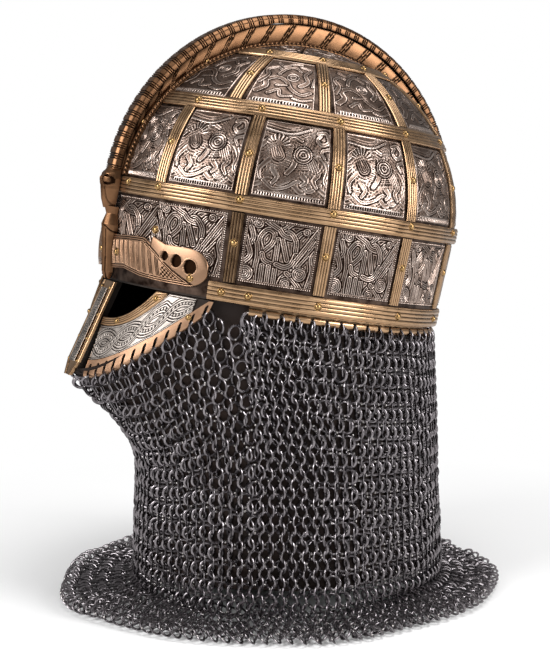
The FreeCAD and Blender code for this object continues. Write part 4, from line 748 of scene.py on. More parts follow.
rise = np.linspace(0, 1, 150)
height = RIDGE_LOW + (RIDGE_HIGH - RIDGE_LOW) * rise
half = RIDGE_HALF * np.interp(rise, RIDGE_STEPS, (0.16, 0.62, 0.72, 0.86, 1.0, 0.62, 0.8))
deep = RIDGE_DEPTH * np.interp(rise, RIDGE_STEPS, (0.35, 0.62, 0.72, 0.86, 0.97, 0.66, 0.85))
u, across, out = front_form(half, deep)
tall = height[:, None]
arch = tall - 37.0 + 1.1 * np.abs(across)
step = np.where(np.abs(arch) < 0.6, 0.0, 0.85)
line = (np.abs(np.abs(across) - 0.5 * half[:, None]) < 0.3) & (arch < -1.5)
shade = np.clip(np.where(line, 0.05, 0.15 + 0.85 * step), 0.03, 1)
keel = 0.9 * np.clip(1 - np.abs(u) / 0.5, 0, 1)
bowl_front = front_reach(height, RIDGE_BACK)[:, None]
forward = bowl_front - out * (0.9 + 0.1 * step) - keel + 0.45 * line * np.clip(out / 3, 0, 1)
ridge = seat(across, forward, tall)
back = seat(np.stack([half, -half], 1), bowl_front, tall)
add_piece("bronze_forehead_ridge", [backed(ridge, back, shade)], dark_bronze, "bronze", ("forehead_ridge",))


# Brow guards: thick cast bronze plates over the eyes. A strip with cut hatching in groups, then chequers,
# narrows to a tip under a plain lobe, which has a small horn and three drilled holes and ends the guard.

copper_bronze = grooved_metal("rubbed_copper_bronze", "#86644B", "#C29D81", 10.0, (0.32, 0.44))

BROW_FIRST, BROW_LAST, BROW_TOP = 3.6, 46.2, 29.4
BROW_STEPS = (0.0, 0.18, 0.4, 0.62, 0.8)
DEGREE_MM = 1.98
BROW_HOLES = ((30.6, 22.2, 3.0), (35.1, 20.4, 4.1), (40.1, 18.0, 4.7))
share = np.linspace(0, 1, 360)[:, None]
up = np.linspace(0, 1, 110)[None, :]
angle = BROW_FIRST + (BROW_LAST - BROW_FIRST) * share
low = 8.4 - 3.8 * share
tall = BROW_TOP - low
# its back end is round
rounding = 0.47 * (1 - np.sqrt(1 - np.clip((share - 0.82) / 0.182, 0, 1) ** 2))
low_edge = low + tall * (np.interp(share, BROW_STEPS, (0.0, 0.1, 0.0, 0.0, 0.03)) + rounding)
high_edge = BROW_TOP - tall * (np.interp(share, BROW_STEPS, (0.0, -0.05, -0.08, 0.0, 0.0)) + rounding)
# a small horn stands up where the plain lobe begins
high_edge += np.interp(angle, (24.4, 24.9, 30.0), (0.0, 2.6, 0.0))
high_edge -= np.interp(angle, (20.0, 24.2, 24.6), (0.0, 2.2, 0.0))
height = low_edge + (high_edge - low_edge) * up
along = (angle - BROW_FIRST) * DEGREE_MM
thick = 1.8 + 1.2 * np.sin(math.pi * np.clip(up, 0.02, 0.98)) ** 0.6
strip_top = np.minimum(np.interp(angle, (20.0, 22.0, 26.0, 30.1, 34.2, 38.1, 41.5, 43.0),
                                 (40.0, 29.2, 25.1, 19.4, 14.4, 10.7, 7.6, 5.0)), high_edge)
from_low, from_top = height - low_edge, strip_top - height
in_strip = from_top > 0
to_line = np.minimum(from_low, from_top)
lines = in_strip & ((np.abs(to_line - 0.8) < 0.32) | (np.abs(to_line - 2.1) < 0.3)) & (angle < 42.5)
slant = along + 0.25 * height
bar = slant / 5.6 % 1
hatch = (bar < 0.6) & (np.sin(2 * math.pi * bar / 0.2) > -0.3)
chequer = (np.floor(slant / 1.5) + np.floor(from_low / 1.3)) % 2 > 0
pattern = in_strip & (to_line > 2.9) & np.where(angle > 29.5, chequer, hatch)
seam = (np.abs(from_top) < 0.3) & (angle > 22.0)
relief = np.where(lines | pattern | seam, 0.0, np.where(in_strip, 0.85, 0.6))
cut = np.where(lines | pattern, 0.6, np.where(in_strip, 0.15, -0.3))
for hole_angle, hole_height, radius in BROW_HOLES:
    gap = np.hypot((angle - hole_angle) * DEGREE_MM, height - hole_height)
    ring = (gap > radius) & (gap < radius + 0.7)
    relief = np.where(ring, 1.0, np.where(gap < radius, 0.0, relief))
    cut = np.where(ring, -0.5, np.where(gap < radius, 3.6, cut))
offset = 0.7 + np.maximum(thick - cut, 0.15)
top = bowl(angle, height / WIDEST_HEIGHT, offset)
under = bowl(angle, np.concatenate([high_edge, low_edge], 1) / WIDEST_HEIGHT, np.full((1, 2), 0.7))
add_pair("brow_guard", [backed(top, under, relief, 0.6)], copper_bronze, "bronze", "brow", sharp=180.0)
brow_set = [bowl_rivet(BROW_FIRST + (BROW_LAST - BROW_FIRST) * share, height / WIDEST_HEIGHT, offset)
            for share, height, offset in ((0.08, 19.0, 3.7), (0.87, 11.5, 3.5))]
add_piece("brass_brow_rivets", both_sides(brow_set), rubbed_brass, "bronze", ("brow_rivets",), sharp=60.0)


# Face mask: a steel plate each side of the nose carries a silvered sheet, cut with two pearled bands twisted
# together, and a ribbed strip under the eye. Both are riveted through to the plate behind.

MASK_DROP, MASK_CORNER, MASK_TOP = 60.5, 0.935, -0.6
EYE_DROP, EYE_CORNER, EYE_STRIP_DROP, EYE_STRIP_CORNER = 23.0, 0.45, 28.5, 0.56
FACE_RIM_TALL = 8.5
MASK_START, MASK_STOP = 0.015, 0.88
MASK_WIDE, MASK_LONG = 102.6, 119.2
rim_share = RIM_SHARE + (1 - RIM_SHARE) * MASK_TOP / WIDEST_HEIGHT


def mask_lower(share):
    """Lower edge of the mask on the rim plane, by the share from nose to corner."""
    last = math.radians(55.0)
    near, middle, far = (1 - share) ** 2, 2 * share * (1 - share), share * share
    across = near * 9.5 + middle * 48.0 + far * MASK_WIDE * rim_share * math.sin(last)
    along = -near * 128.0 - middle * 111.5 - far * MASK_LONG * rim_share * math.cos(last)
    fall = 1 - (np.maximum(share, 0) / MASK_CORNER) ** 1.65
    return np.stack([across, along, -MASK_DROP * fall + MASK_TOP], -1)


def mask_upper(share):
    turn = np.radians(5.5 + 49.5 * share)
    across, along = MASK_WIDE * rim_share * np.sin(turn), -MASK_LONG * rim_share * np.cos(turn)
    return np.stack([across, along, MASK_TOP + 0 * turn], -1)


def mask_normal(share):
    """Direction outwards from the mask."""
    ahead = mask_upper(share + 0.077) + mask_lower(share + 0.077) - mask_upper(share) - mask_lower(share)
    zero = np.zeros(1)
    rise = np.where(np.asarray(share)[..., None] > 0.5, (0.0, 0.0, 1.0), mask_upper(zero) - mask_lower(zero))
    normal = np.cross(ahead, rise)
    return normal / np.linalg.norm(normal, axis=-1, keepdims=True)


def mask_point(share, height, offset):
    """Points on the mask by share, height over the rim plane and offset outwards."""
    low, high = mask_lower(share), mask_upper(share)
    part = (height - low[..., 2]) / (high[..., 2] - low[..., 2])
    point = low + (high - low) * part[..., None] + mask_normal(share) * np.asarray(offset)[..., None]
    return seat(point[..., 0], point[..., 1], point[..., 2])


def eye_edge(share):
    return np.where(share >= EYE_CORNER, MASK_TOP, -EYE_DROP * (1 - (share / EYE_CORNER) ** 2.6) + MASK_TOP)


def eye_strip_edge(share):
    return -EYE_STRIP_DROP * (1 - np.minimum(share / EYE_STRIP_CORNER, 1) ** 2.4) + MASK_TOP


def rim_edge(share):
    return np.minimum(mask_lower(share)[..., 2] + FACE_RIM_TALL, MASK_TOP - 0.5)


# cheek sheet: worked flat first, 86 mm long, by the length along it and the share up it
share, up = np.meshgrid(np.linspace(MASK_START, 0.76, 300), np.linspace(0, 1, 120), indexing="ij")
low, high = rim_edge(share) + 0.5, eye_strip_edge(share) - 0.5
tall = np.maximum(high - low, 0.4)
height = low + tall * up
run = (share - MASK_START) * 108.0
form = np.full(run.shape, 0.78)
# two pearled bands twisted together, each over the other where it climbs
TWIST, BAND_HALF = 42.0, 2.1
up_mm = up * tall
lifts, gaps = [], []
for number in range(2):
    phase = 2 * math.pi * (run / TWIST + number / 2)
    sway = 0.24 * tall
    slope = np.hypot(1, sway * 2 * math.pi / TWIST * np.cos(phase))
    gaps.append(np.abs(up_mm - 0.5 * tall - sway * np.sin(phase)) / slope)
    lifts.append(np.cos(phase))
near = np.minimum.reduce(gaps)
form = np.where(np.abs(near - BAND_HALF - 1.9) < 0.28, 0.08, form)
top = np.full(run.shape, -9.0)
for gap, lift in zip(gaps, lifts):
    pearl = np.hypot(gap / 0.85, (run / 2.3 % 1 - 0.5) * 2.3 / 0.8) < 1
    band_form = np.where(gap > BAND_HALF, 0.03, np.where(gap > 1.05, 0.9, np.where(pearl, 1.0, 0.1)))
    shown = (gap < BAND_HALF + 0.65) & (lift > top)
    form, top = np.where(shown, band_form, form), np.where(shown, lift, top)
edge = np.minimum(up_mm, tall - up_mm)
form = np.where((edge > 0.7) & (edge < 1.15), 0.08, np.where(edge < 0.7, 0.85, form))
cheek = mask_point(share, height, 0.75 + 0.7 * form)
under = mask_point(share[:, :2], np.stack([height[:, -1], height[:, 0]], 1), np.full((300, 2), 0.5))

# polished silvered sheet: nearly white between cut lines, which hold black
polished_silver = grooved_metal("polished_silvered_sheet", "#857C75", "#C6BCB4", 6.25, (0.28, 0.44),
                                (0.15, 0.6), "#1E1A1A")
add_pair("cheek_sheet", [backed(cheek, under, form, 0.5)], polished_silver, "silvered_relief", "cheek_panel",
         sharp=180.0)

# ribbed strip under the eye
share = np.linspace(MASK_START, 0.545, 120)[:, None]
up = np.concatenate([[0.0], np.linspace(0, 1, 41), [1.0]])[None, :]
ribs, shade = fine_ribs(2 * up - 1, 4, 0.9)
low, high = eye_strip_edge(share), eye_edge(share)
offset = 0.25 + 1.7 * ribs
offset[:, [0, -1]] = 0.25
strip_points = mask_point(share + 0 * up, low + (high - low) * up, offset + 0 * share)
eye_strip = grid_part(strip_points, shade + 0 * share, solid=True)
add_pair("bronze_eye_strip", [eye_strip], antique_bronze, "bronze", "eye_strip")


def mask_rivet(share, height, offset, scale):
    at = np.array([share])
    place = mask_point(at, np.array([height]), np.array([offset]))[0]
    normal = mask_point(at, np.array([height]), np.array([offset + 1.0]))[0] - place
    return rivet(place, normal, scale)


mask_set = [mask_rivet(share, float(eye_edge(share) + eye_strip_edge(share)) / 2, 1.95, 0.8)
            for share in (0.18, 0.47)]
mask_set.append(mask_rivet(0.75, float(mask_lower(np.array(0.75))[2]) + 0.7 * FACE_RIM_TALL, 1.4, 0.8))


# Nose bar: a bronze bar with raised edges from the brow to below the lip, tapered at its end, and a silvered
# inlay with two thin bands twisted down its middle. A dark steel spine backs it and joins both cheeks.

NOSE_REACH, NOSE_SLOPE, NOSE_LOW, NOSE_HIGH = 116.6, 0.306, -64.0, -0.8
height = np.linspace(NOSE_LOW, NOSE_HIGH, 150)[:, None]
half = np.interp(height, (NOSE_LOW, NOSE_LOW + 9.4), (4.7, 9.4))
side = np.linspace(-1, 1, 41)[None, :]
across = side * half
front = -(NOSE_REACH - NOSE_SLOPE * height)
edge = half - np.abs(across)
roll = np.sqrt(np.clip(1 - ((edge - 1.3) / 1.3) ** 2, 0, 1))
line = np.exp(-((edge - 3.1) / 0.3) ** 2)
bar_front = front + 0.5 - 0.5 * roll + 0.35 * line
shade = np.clip(0.9 - line - 0.5 * (np.abs(edge - 4.6) < 0.25), 0.04, 1)
bar_face = seat(across, bar_front, height)
bar_back = seat(np.concatenate([half, -half], 1), front + 2.2, height)
add_piece("bronze_nose_bar", [backed(bar_face, bar_back, shade, 0.8)], antique_bronze, "bronze", ("nose_bar",))

INLAY_HALF, INLAY_TWIST = 4.6, 11.0
height = np.linspace(-54.6, -5.5, 150)[:, None]
across = np.linspace(-INLAY_HALF, INLAY_HALF, 37)[None, :]
sway = 1.5 * np.sin(2 * math.pi * height / INLAY_TWIST)
over = np.cos(2 * math.pi * height / INLAY_TWIST + 0.6) > 0
form = np.full((150, 37), 0.75)
for gap, other, on_top in ((across - sway, across + sway, over), (across + sway, across - sway, ~over)):
    visible = (np.abs(gap) < 1.35) & (on_top | (np.abs(other) > 1.5))
    pearl = (height / 1.6 % 1 > 0.3) & (np.abs(gap) < 0.7)
    band_form = np.where(np.abs(gap) > 1.0, 0.05, np.where(pearl, 1.0, 0.2))
    form = np.where(visible, band_form, form)
form = np.where(np.abs(np.abs(across) - 3.6) < 0.3, 0.06, form)
front = -(NOSE_REACH - NOSE_SLOPE * height)
inlay_face = seat(across, front - 0.45 - 0.4 * form, height)
inlay_back = seat(np.array([[INLAY_HALF, -INLAY_HALF]]), front - 0.25, height)
add_piece("silvered_nose_inlay", [backed(inlay_face, inlay_back, form, 0.5)], polished_silver, "silvered_relief",
          ("nose_inlay",), sharp=180.0)

lean = seat(0.0, -1.0, NOSE_SLOPE) - seat(0.0, 0.0, 0.0)
for height in (-5.0, -23.0, -39.0, -54.0):
    mask_set.append(rivet(seat(7.0, -(NOSE_REACH - NOSE_SLOPE * height), height), lean, 0.5))
add_piece("brass_mask_rivets", both_sides(mask_set), rubbed_brass, "bronze", ("mask_rivets",), sharp=60.0)
refinish(("nose_spine",), dark_steel_painted_shade)


# Slotted edges: strips rolled into hollow knuckles round a steel rod, of bare copper under the face and of
# bronze round the neck. The top rings of the mail hang from the rods through the slots.

SLOT_WIDE, SLOT_RISE, ROLL_OUTER, ROLL_INNER = 2.4, 6.0, 2.7, 1.6
FACE_SLOTS = [0.06 + 0.79 * number / 11 for number in range(12)]
NECK_FIRST, NECK_PITCH, NECK_RISE, NECK_MIDDLE = 60.0, 9.8, 9.05, -3.55
NECK_WIDE, NECK_LONG = (BOWL_HALF_WIDTH - 2.05) * RIM_SHARE, (BOWL_HALF_LENGTH - 2.05) * RIM_SHARE
ROD_DEPTH = -1.35


def finger_section(strip_top, slot_top, turns, straight):
    """Outer and inner corners of a strip that ends in a roll, as out and up places in mm."""
    turn = np.radians(np.linspace(turns[0], turns[1], 22))
    outer = np.stack([np.cos(turn), np.sin(turn)], -1) * ROLL_OUTER
    inner = np.stack([np.cos(turn), np.sin(turn)], -1) * ROLL_INNER
    top = [(straight * ROLL_OUTER, strip_top), (straight * ROLL_OUTER, slot_top)]
    inside = [(straight * ROLL_INNER, slot_top), (straight * ROLL_INNER, strip_top)]
    return np.array(top + list(outer) + list(inner[::-1]) + inside)


def face_place(share, corners):
    low = mask_lower(share)[..., 2]
    squeeze = np.minimum(1.0, (rim_edge(share) - low) / FACE_RIM_TALL)
    rise = np.where(corners[:, 1] > 0, corners[:, 1] * squeeze, corners[:, 1])
    return mask_point(share + 0 * corners[:, 0], low + rise, ROD_DEPTH + corners[:, 0])


def neck_place(angle, corners):
    turn = math.radians(angle)
    outward = np.array([math.sin(turn) / NECK_WIDE, -math.cos(turn) / NECK_LONG])
    outward /= np.linalg.norm(outward)
    across = NECK_WIDE * math.sin(turn) + outward[0] * corners[:, 0]
    along = -NECK_LONG * math.cos(turn) + outward[1] * corners[:, 0]
    return seat(across, along, NECK_MIDDLE + corners[:, 1])


def rolled_edge(place, starts, ends, section, strip):
    """Fingers between the slots and the strip over them, with round tops to the slots."""
    parts = []
    for start, end in zip(starts, ends):
        rows = [place(s, section) for s in np.linspace(start, end, 7)]
        parts.append(grid_part(rows, solid=True))
    for end, start in zip(ends[:-1], starts[1:]):
        rows = []
        for s in np.linspace(end, start, 9):
            lift = 1 - math.sqrt(max(0.0, 1 - ((s - (end + start) / 2) / ((start - end) / 2)) ** 2))
            bridge = strip.copy()
            bridge[1:3, 1] -= lift * 1.2
            rows.append(place(s, bridge))
        parts.append(grid_part(rows, solid=True))
    return parts


def bridge_section(straight, strip_top, slot_top):
    """Corners of the strip that bridges a slot."""
    outer, inner = straight * ROLL_OUTER, straight * ROLL_INNER
    return np.array([(outer, strip_top), (outer, slot_top), (inner, slot_top), (inner, strip_top)])


first_slot, last_slot = mask_lower(np.array([FACE_SLOTS[0], FACE_SLOTS[-1]]))
edge_length = float(np.linalg.norm(last_slot - first_slot))
half = SLOT_WIDE / 2 / edge_length * (FACE_SLOTS[-1] - FACE_SLOTS[0])
section = finger_section(FACE_RIM_TALL, SLOT_RISE, (0.0, -215.0), 1)
starts, ends = [MASK_START] + [s + half for s in FACE_SLOTS], [s - half for s in FACE_SLOTS] + [MASK_STOP]
face_edge = rolled_edge(face_place, starts, ends, section, bridge_section(1, FACE_RIM_TALL, SLOT_RISE))
add_pair("copper_face_edge", face_edge, copper_bronze, "copper_bronze", "face_rim")

neck_ends, angle, run = [NECK_FIRST], NECK_FIRST, 0.0
while angle < 180.0:
    turn = math.radians(angle)
    run += math.hypot(NECK_WIDE * math.cos(turn), NECK_LONG * math.sin(turn)) * math.radians(0.5)
    angle += 0.5
    if run >= NECK_PITCH:
        neck_ends.append(angle)
        run = 0.0
starts, ends = [], []
for first, last in zip(neck_ends, neck_ends[1:]):
    side = SLOT_WIDE / 2 / float(degree_length(first, 0.0)) / RIM_SHARE
    starts.append(first + side)
    ends.append(last - side)
starts, ends = starts + [360 - e for e in reversed(ends)], ends + [360 - s for s in reversed(starts)]
neck_slots = [(a + b) / 2 for a, b in zip(ends[:-1], starts[1:])]
section = finger_section(NECK_RISE, 1.0, (180.0, 420.0), -1)
neck_edge = rolled_edge(neck_place, starts, ends, section, bridge_section(-1, NECK_RISE, 1.0))
add_piece("bronze_neck_edge", neck_edge, antique_bronze, "bronze", ("neck_rim",))

# rods: drawn steel wire, dark and lightly oiled
drawn_wire = mottled_metal("drawn_steel_wire", 350.0, 3.0, "#3B3836", "#7B7672", (0.25, 0.45))
ROD_RADIUS, ROD_SIDES = 0.9, 10


def wire(points):
    """A round rod through points given in metres."""
    points = np.asarray(points, float)
    ahead = np.roll(points, -1, 0) - np.roll(points, 1, 0)
    ahead[0], ahead[-1] = points[1] - points[0], points[-1] - points[-2]
    ahead /= np.linalg.norm(ahead, axis=1, keepdims=True)
    side = np.cross(ahead, (0.0, 0.0, 1.0))
    side /= np.linalg.norm(side, axis=1, keepdims=True)
    other = np.cross(ahead, side)
    turn = np.linspace(0, 2 * math.pi, ROD_SIDES, endpoint=False)[None, :, None]
    spoke = np.cos(turn) * side[:, None] + np.sin(turn) * other[:, None]
    return grid_part(points[:, None] + ROD_RADIUS / 1000 * spoke, solid=True)


share = np.linspace(MASK_START, MASK_STOP, 70)
face_rod = wire(mask_point(share, mask_lower(share)[..., 2], np.full(70, ROD_DEPTH)))
add_pair("steel_face_rod", [face_rod], drawn_wire, "black_iron", "face_rod")
neck_line = [neck_place(angle, np.zeros((1, 2)))[0] for angle in np.linspace(60, 300, 160)]
add_piece("steel_neck_rod", [wire(neck_line)], drawn_wire, "black_iron", ("neck_rod",))


# Mail: nearly 4000 round riveted rings of blackened steel wire, each through four others. The top row hangs
# from the rods through the slots, and the last rows lie spread on the floor.

# oil and rubbing vary from ring to ring, over about 5 mm, and the rivets are rubbed bright
blackened_steel = mottled_metal("blackened_steel_wire", 210.0, 4.0, "#2B2628", "#A19B9E", (0.38, 0.18),
                                (0.3, 0.7))
rivet_steel = mottled_metal("rubbed_rivet_steel", 300.0, 3.0, "#8B8482", "#E4DFDC", (0.22, 0.4))

MOVED_BACK = -2.1165
RING_RADIUS, RING_WIDE, RING_THICK = 4.5, 1.8, 1.0
RING_LEAN = math.radians(47.0)
RING_STEPS = 18
ROW_DROP = 5.85
COLUMNS = 96
FOOT_HEIGHT, WAIST_HEIGHT = 10.0, 85.0
random = np.random.default_rng(7)


def top_table():
    """Upper edge of the mail for each half degree from the front, in mm as it stands."""
    angles = np.arange(0, 180.5, 0.5)
    share = np.minimum((angles - 5.5) / 49.5, MASK_CORNER)
    point = mask_lower(share) + mask_normal(share) * ROD_DEPTH
    nose = angles < 5.5
    point[nose] = (0.0, -128.0, NOSE_LOW)
    neck = angles > 52.5
    turn = np.radians(np.maximum(angles, NECK_FIRST))
    level = np.full(len(turn), NECK_MIDDLE)
    point[neck] = np.stack([NECK_WIDE * np.sin(turn), -NECK_LONG * np.cos(turn), level], -1)[neck]
    point[:, 2] -= 3.5
    placed = seat(point[:, 0], point[:, 1], point[:, 2]) * 1000
    return angles, placed


top_angles, top_places = top_table()
# evened out over 4.5 degrees, with the other side's edge beyond the front and the back
kernel = np.ones(9) / 9
for axis, sign in enumerate((-1, 1, 1)):
    line = top_places[:, axis]
    padded = np.concatenate([line[8:0:-1] * sign, line, line[-2:-10:-1] * sign])
    top_places[:, axis] = np.convolve(padded, kernel, "same")[8:-8]


def mail_top(angle):
    """Upper edge of the mail at any angle, in mm as it stands."""
    turn = np.where(angle > 180, 360 - angle, angle)
    sign = np.where(angle > 180, -1.0, 1.0)
    across, along, height = (np.interp(turn, top_angles, top_places[:, axis]) for axis in range(3))
    return np.stack([sign * across, along, height], -1)


def fold_wave(angle):
    return 0.6 * np.cos(np.radians(5 * angle)) + 0.4 * np.cos(np.radians(9 * angle))


def oval(angle, across, along, back, height):
    turn = np.radians(angle)
    x, y = across * np.sin(turn), back - along * np.cos(turn) + MOVED_BACK
    return np.stack(np.broadcast_arrays(x, y, height), -1)


def hanging(angle, height):
    """Place on the mail's hanging part, in mm as it stands."""
    top = mail_top(angle)
    level = (top[..., 2] - height) / (top[..., 2] - FOOT_HEIGHT)
    fold = 1.6 * np.clip(level, 0, 1) * fold_wave(angle)
    part = np.clip((height - WAIST_HEIGHT) / (top[..., 2] - WAIST_HEIGHT), 0, 1.1) ** 1.7
    waist = oval(angle, 98.0 + fold, 100.3 + fold, 11.6, height)
    upper = waist + (np.stack([top[..., 0], top[..., 1], height], -1) - waist) * part[..., None]
    down = np.clip((WAIST_HEIGHT - height) / (WAIST_HEIGHT - FOOT_HEIGHT), 0, 1.2)
    lower = oval(angle, 98.0 + 3.4 * down + fold, 100.3 + 3.4 * down + fold, 11.6 + 0.4 * down, height)
    return np.where((height > WAIST_HEIGHT)[..., None], upper, lower)


def spread(angle, share, height):
    """Place on the part spread over the floor, from the foot at 0 to the hem at 1."""
    fold = (1.6 + 2.4 * share) * fold_wave(angle)
    foot = oval(angle, 101.4 + fold, 103.7 + fold, 12.0, height)
    hem = oval(angle, 139.4 + fold, 148.7 + fold, 6.0, height)
    return foot + (hem - foot) * share[..., None]


turn = np.linspace(0, 2 * math.pi, RING_STEPS, endpoint=False)
band = np.array([(-0.5, 0.0), (-0.28, -0.5), (0.28, -0.5), (0.5, 0.0), (0.28, 0.5), (-0.28, 0.5)])
ring_radius = RING_RADIUS + band[:, 0] * RING_WIDE
ring_form = np.stack([np.outer(np.cos(turn), ring_radius), np.outer(np.sin(turn), ring_radius),
                      np.broadcast_to(band[:, 1] * RING_THICK, (RING_STEPS, len(band)))], -1)
ring_part = grid_part(ring_form, close_rows=True, solid=True)
stud_rows = [[(r * math.cos(a), r * math.sin(a), z) for a in np.linspace(0, 2 * math.pi, 8, endpoint=False)]
             for r, z in ((0.85, 0.3), (0.8, 0.62), (0.45, 0.9), (0.08, 0.98))]
stud_part = grid_part(np.array(stud_rows), solid=True)


def set_rings(part, centres, across, up, lean, scale=1.0, shift=(0.0, 0.0, 0.0)):
    """Copies of a part at centres in mm, leaned about their own up direction."""
    across = across / np.linalg.norm(across, axis=-1, keepdims=True)
    up = up - across * (up * across).sum(-1, keepdims=True)
    up /= np.linalg.norm(up, axis=-1, keepdims=True)
    out = np.cross(across, up)
    side = across * np.cos(lean)[:, None] + out * np.sin(lean)[:, None]
    face = np.cross(side, up)
    corners = (part[0] + shift) * scale
    placed = (centres[:, None] + corners[None, :, 0:1] * side[:, None] + corners[None, :, 1:2] * up[:, None]
              + corners[None, :, 2:3] * face[:, None]) / 1000
    count = len(part[0])
    blocks = [(block[None] + np.arange(len(centres))[:, None, None] * count).reshape(-1, block.shape[1])
              for block in part[1]]
    return placed.reshape(-1, 3), blocks, np.ones(len(centres) * count)


# hanging rows: each column keeps its own count of rings, so that the rows reach the slots evenly
rows = []
columns = np.arange(COLUMNS)
column_turn = 360.0 / COLUMNS
tops = mail_top(columns * column_turn)[:, 2]
row = 0
while True:
    column = columns + 0.5 * (row % 2)
    nearby = (tops + np.roll(tops, -1)) / 2 if row % 2 else tops
    count = np.round((nearby - 1.5 - FOOT_HEIGHT) / ROW_DROP)
    count += (count % 2 != 0)
    pitch = (nearby - 1.5 - FOOT_HEIGHT) / count
    height = FOOT_HEIGHT + pitch * row
    keep = height < nearby - 1.0
    if not keep.any():
        break
    angle = (column * column_turn + random.normal(0, 0.12, COLUMNS)) % 360
    height = height + random.normal(0, 0.25, COLUMNS)
    place = hanging(angle, height)
    across = hanging(angle + 0.6, height) - hanging(angle - 0.6, height)
    up = hanging(angle, height + 0.8) - hanging(angle, height - 0.8)
    lean = RING_LEAN * (1 if row % 2 else -1) + random.normal(0, math.radians(6.0), COLUMNS)
    rows.append([values[keep] for values in (place, across, up, lean)])
    row += 1
hang = [np.concatenate(values) for values in zip(*rows)]

# rows on the floor: wider round than the curtain, with low waves where the mail buckles
rows = []
SKIRT_COLUMNS, SKIRT_ROWS = 112, 9
for row in range(SKIRT_ROWS):
    share = np.full(SKIRT_COLUMNS, (row + 0.35) / (SKIRT_ROWS - 0.2))
    angle = 360.0 * (np.arange(SKIRT_COLUMNS) + 0.5 * (row % 2)) / SKIRT_COLUMNS
    angle += random.normal(0, 0.2, SKIRT_COLUMNS)
    wave = 1.4 * np.sin(np.radians(angle * 7 + 40 * share))
    wave += 0.9 * np.sin(np.radians(angle * 13 - 90 * share))
    height = 3.4 + (5.5 * (1 - share) ** 2.2) + np.maximum(wave, -1.0) * (0.5 + 0.7 * share)
    place = spread(angle, share, height)
    across = spread(angle + 0.6, share, height) - spread(angle - 0.6, share, height)
    up = spread(angle, share - 0.02, height + 0.1 * (1 - share)) - spread(angle, share + 0.02, height)
    lean = RING_LEAN * (1 if row % 2 else -1) + random.normal(0, math.radians(7), SKIRT_COLUMNS)
    rows.append([place, across, up, lean])
skirt = [np.concatenate(values) for values in zip(*rows)]
# no ring sinks into the floor: each stands on its own lowest edge
reach = (RING_RADIUS + RING_WIDE / 2) * np.abs(np.sin(skirt[3])) + RING_THICK / 2
skirt[0][:, 2] = np.maximum(skirt[0][:, 2], reach + 0.15)


def mail_piece(name, rows, finish, part, stud=False):
    """Rings at all places of some rows, or their rivets, each at the top or the bottom of its ring."""
    centres, across, up, lean = rows
    if stud:
        bottom = random.choice((-1.0, 1.0), len(centres))
        parts = [set_rings(part, centres[bottom == side], across[bottom == side], up[bottom == side],
                           lean[bottom == side], shift=(0.0, side * RING_RADIUS, 0.0)) for side in (-1.0, 1.0)]
    else:
        parts = [set_rings(part, centres, across, up, lean)]
    add_piece(name, parts, finish, "mail_steel", ("mail_curtain",), sharp=60.0)


quarters = np.array_split(np.arange(len(hang[0])), 4)
for label, some in zip(("foot", "low", "middle", "top"), quarters):
    mail_piece("mail_rings_" + label, [values[some] for values in hang], blackened_steel, ring_part)
for label, some in zip(("inner", "outer"), np.array_split(np.arange(len(skirt[0])), 2)):
    mail_piece("mail_rings_floor_" + label, [values[some] for values in skirt], blackened_steel, ring_part)
mail_piece("mail_rivets_hanging", hang, rivet_steel, stud_part, stud=True)
mail_piece("mail_rivets_floor", skirt, rivet_steel, stud_part, stud=True)

# hanging rings: plain rings through the slots round the rods, set square to the edge
centres, across = [], []
for share in FACE_SLOTS:
    at = np.array([share, share + 0.01])
    rod, ahead = mask_point(at, mask_lower(at)[..., 2], np.full(2, ROD_DEPTH)) * 1000
    ahead = ahead - rod
    for sign in (1, -1):
        centres.append(rod * (sign, 1, 1) + (0.0, 0.0, -2.9))
        across.append(ahead * (sign, 1, 1) * sign)
for angle in neck_slots:
    rod = neck_place(angle, np.zeros((1, 2)))[0] * 1000
    ahead = neck_place(angle + 0.5, np.zeros((1, 2)))[0] * 1000 - rod
    centres.append(rod + (0.0, 0.0, -2.9))
    across.append(ahead)
centres, across = np.array(centres), np.array(across)
up = np.broadcast_to((0.0, 0.0, 1.0), centres.shape)
lean = math.radians(72) + random.normal(0, math.radians(6), len(centres))
hooks = set_rings(ring_part, centres, across, up, lean, scale=0.84)
add_piece("mail_rings_hooks", [hooks], blackened_steel, "mail_steel", ("mail_curtain",), sharp=60.0)


# Leather behind the mail: a thin brown skin that hangs from the slotted edges. Nothing of its hold is seen,
# and only its dark brown shows between the rings, where it stands for the shade inside the mail: painted shade.

def brown_leather(name, deep, pale, dull):
    """Oiled leather: tone in patches about 15 mm across, and a pore grain of about 0.6 mm."""
    finish, tree, shader, where = new_finish(name)
    patch = add_node(tree, "TexNoise", {"Vector": where, "Scale": 65.0, "Detail": 6.0}).outputs["Fac"]
    pores = add_node(tree, "TexVoronoi", {"Vector": where, "Scale": 1600.0}).outputs["Distance"]
    tone = add_node(tree, "MixRGB", {"Fac": patch, "Color1": linear(deep), "Color2": linear(pale)})
    give_surface(tree, shader, tone, patch, dull, metallic=0.0)
    shader.inputs["Specular IOR Level"].default_value = 0.2
    grain = add_node(tree, "Bump", {"Height": pores, "Strength": 0.35, "Distance": 0.0002})
    tree.links.new(grain.outputs["Normal"], shader.inputs["Normal"])
    return finish


# near black, so that the gaps between the rings read as the shade inside the mail: painted shade
painted_shade_leather = brown_leather("leather_lining_painted_shade", "#100A08", "#2A1D17", (0.6, 0.8))
BACKING_LEVELS, BACKING_OUTER, BACKING_INNER = (-0.05, 0.94), 3.9, 4.7


def backing_wall(inset, levels):
    angle, level = np.meshgrid(np.arange(0, 360, 3.0), levels)
    top = mail_top(angle)[..., 2]
    height = top - level * (top - FOOT_HEIGHT)
    inward = oval(angle, -inset, -inset, -MOVED_BACK, 0.0)
    return (hanging(angle, height) + inward) / 1000


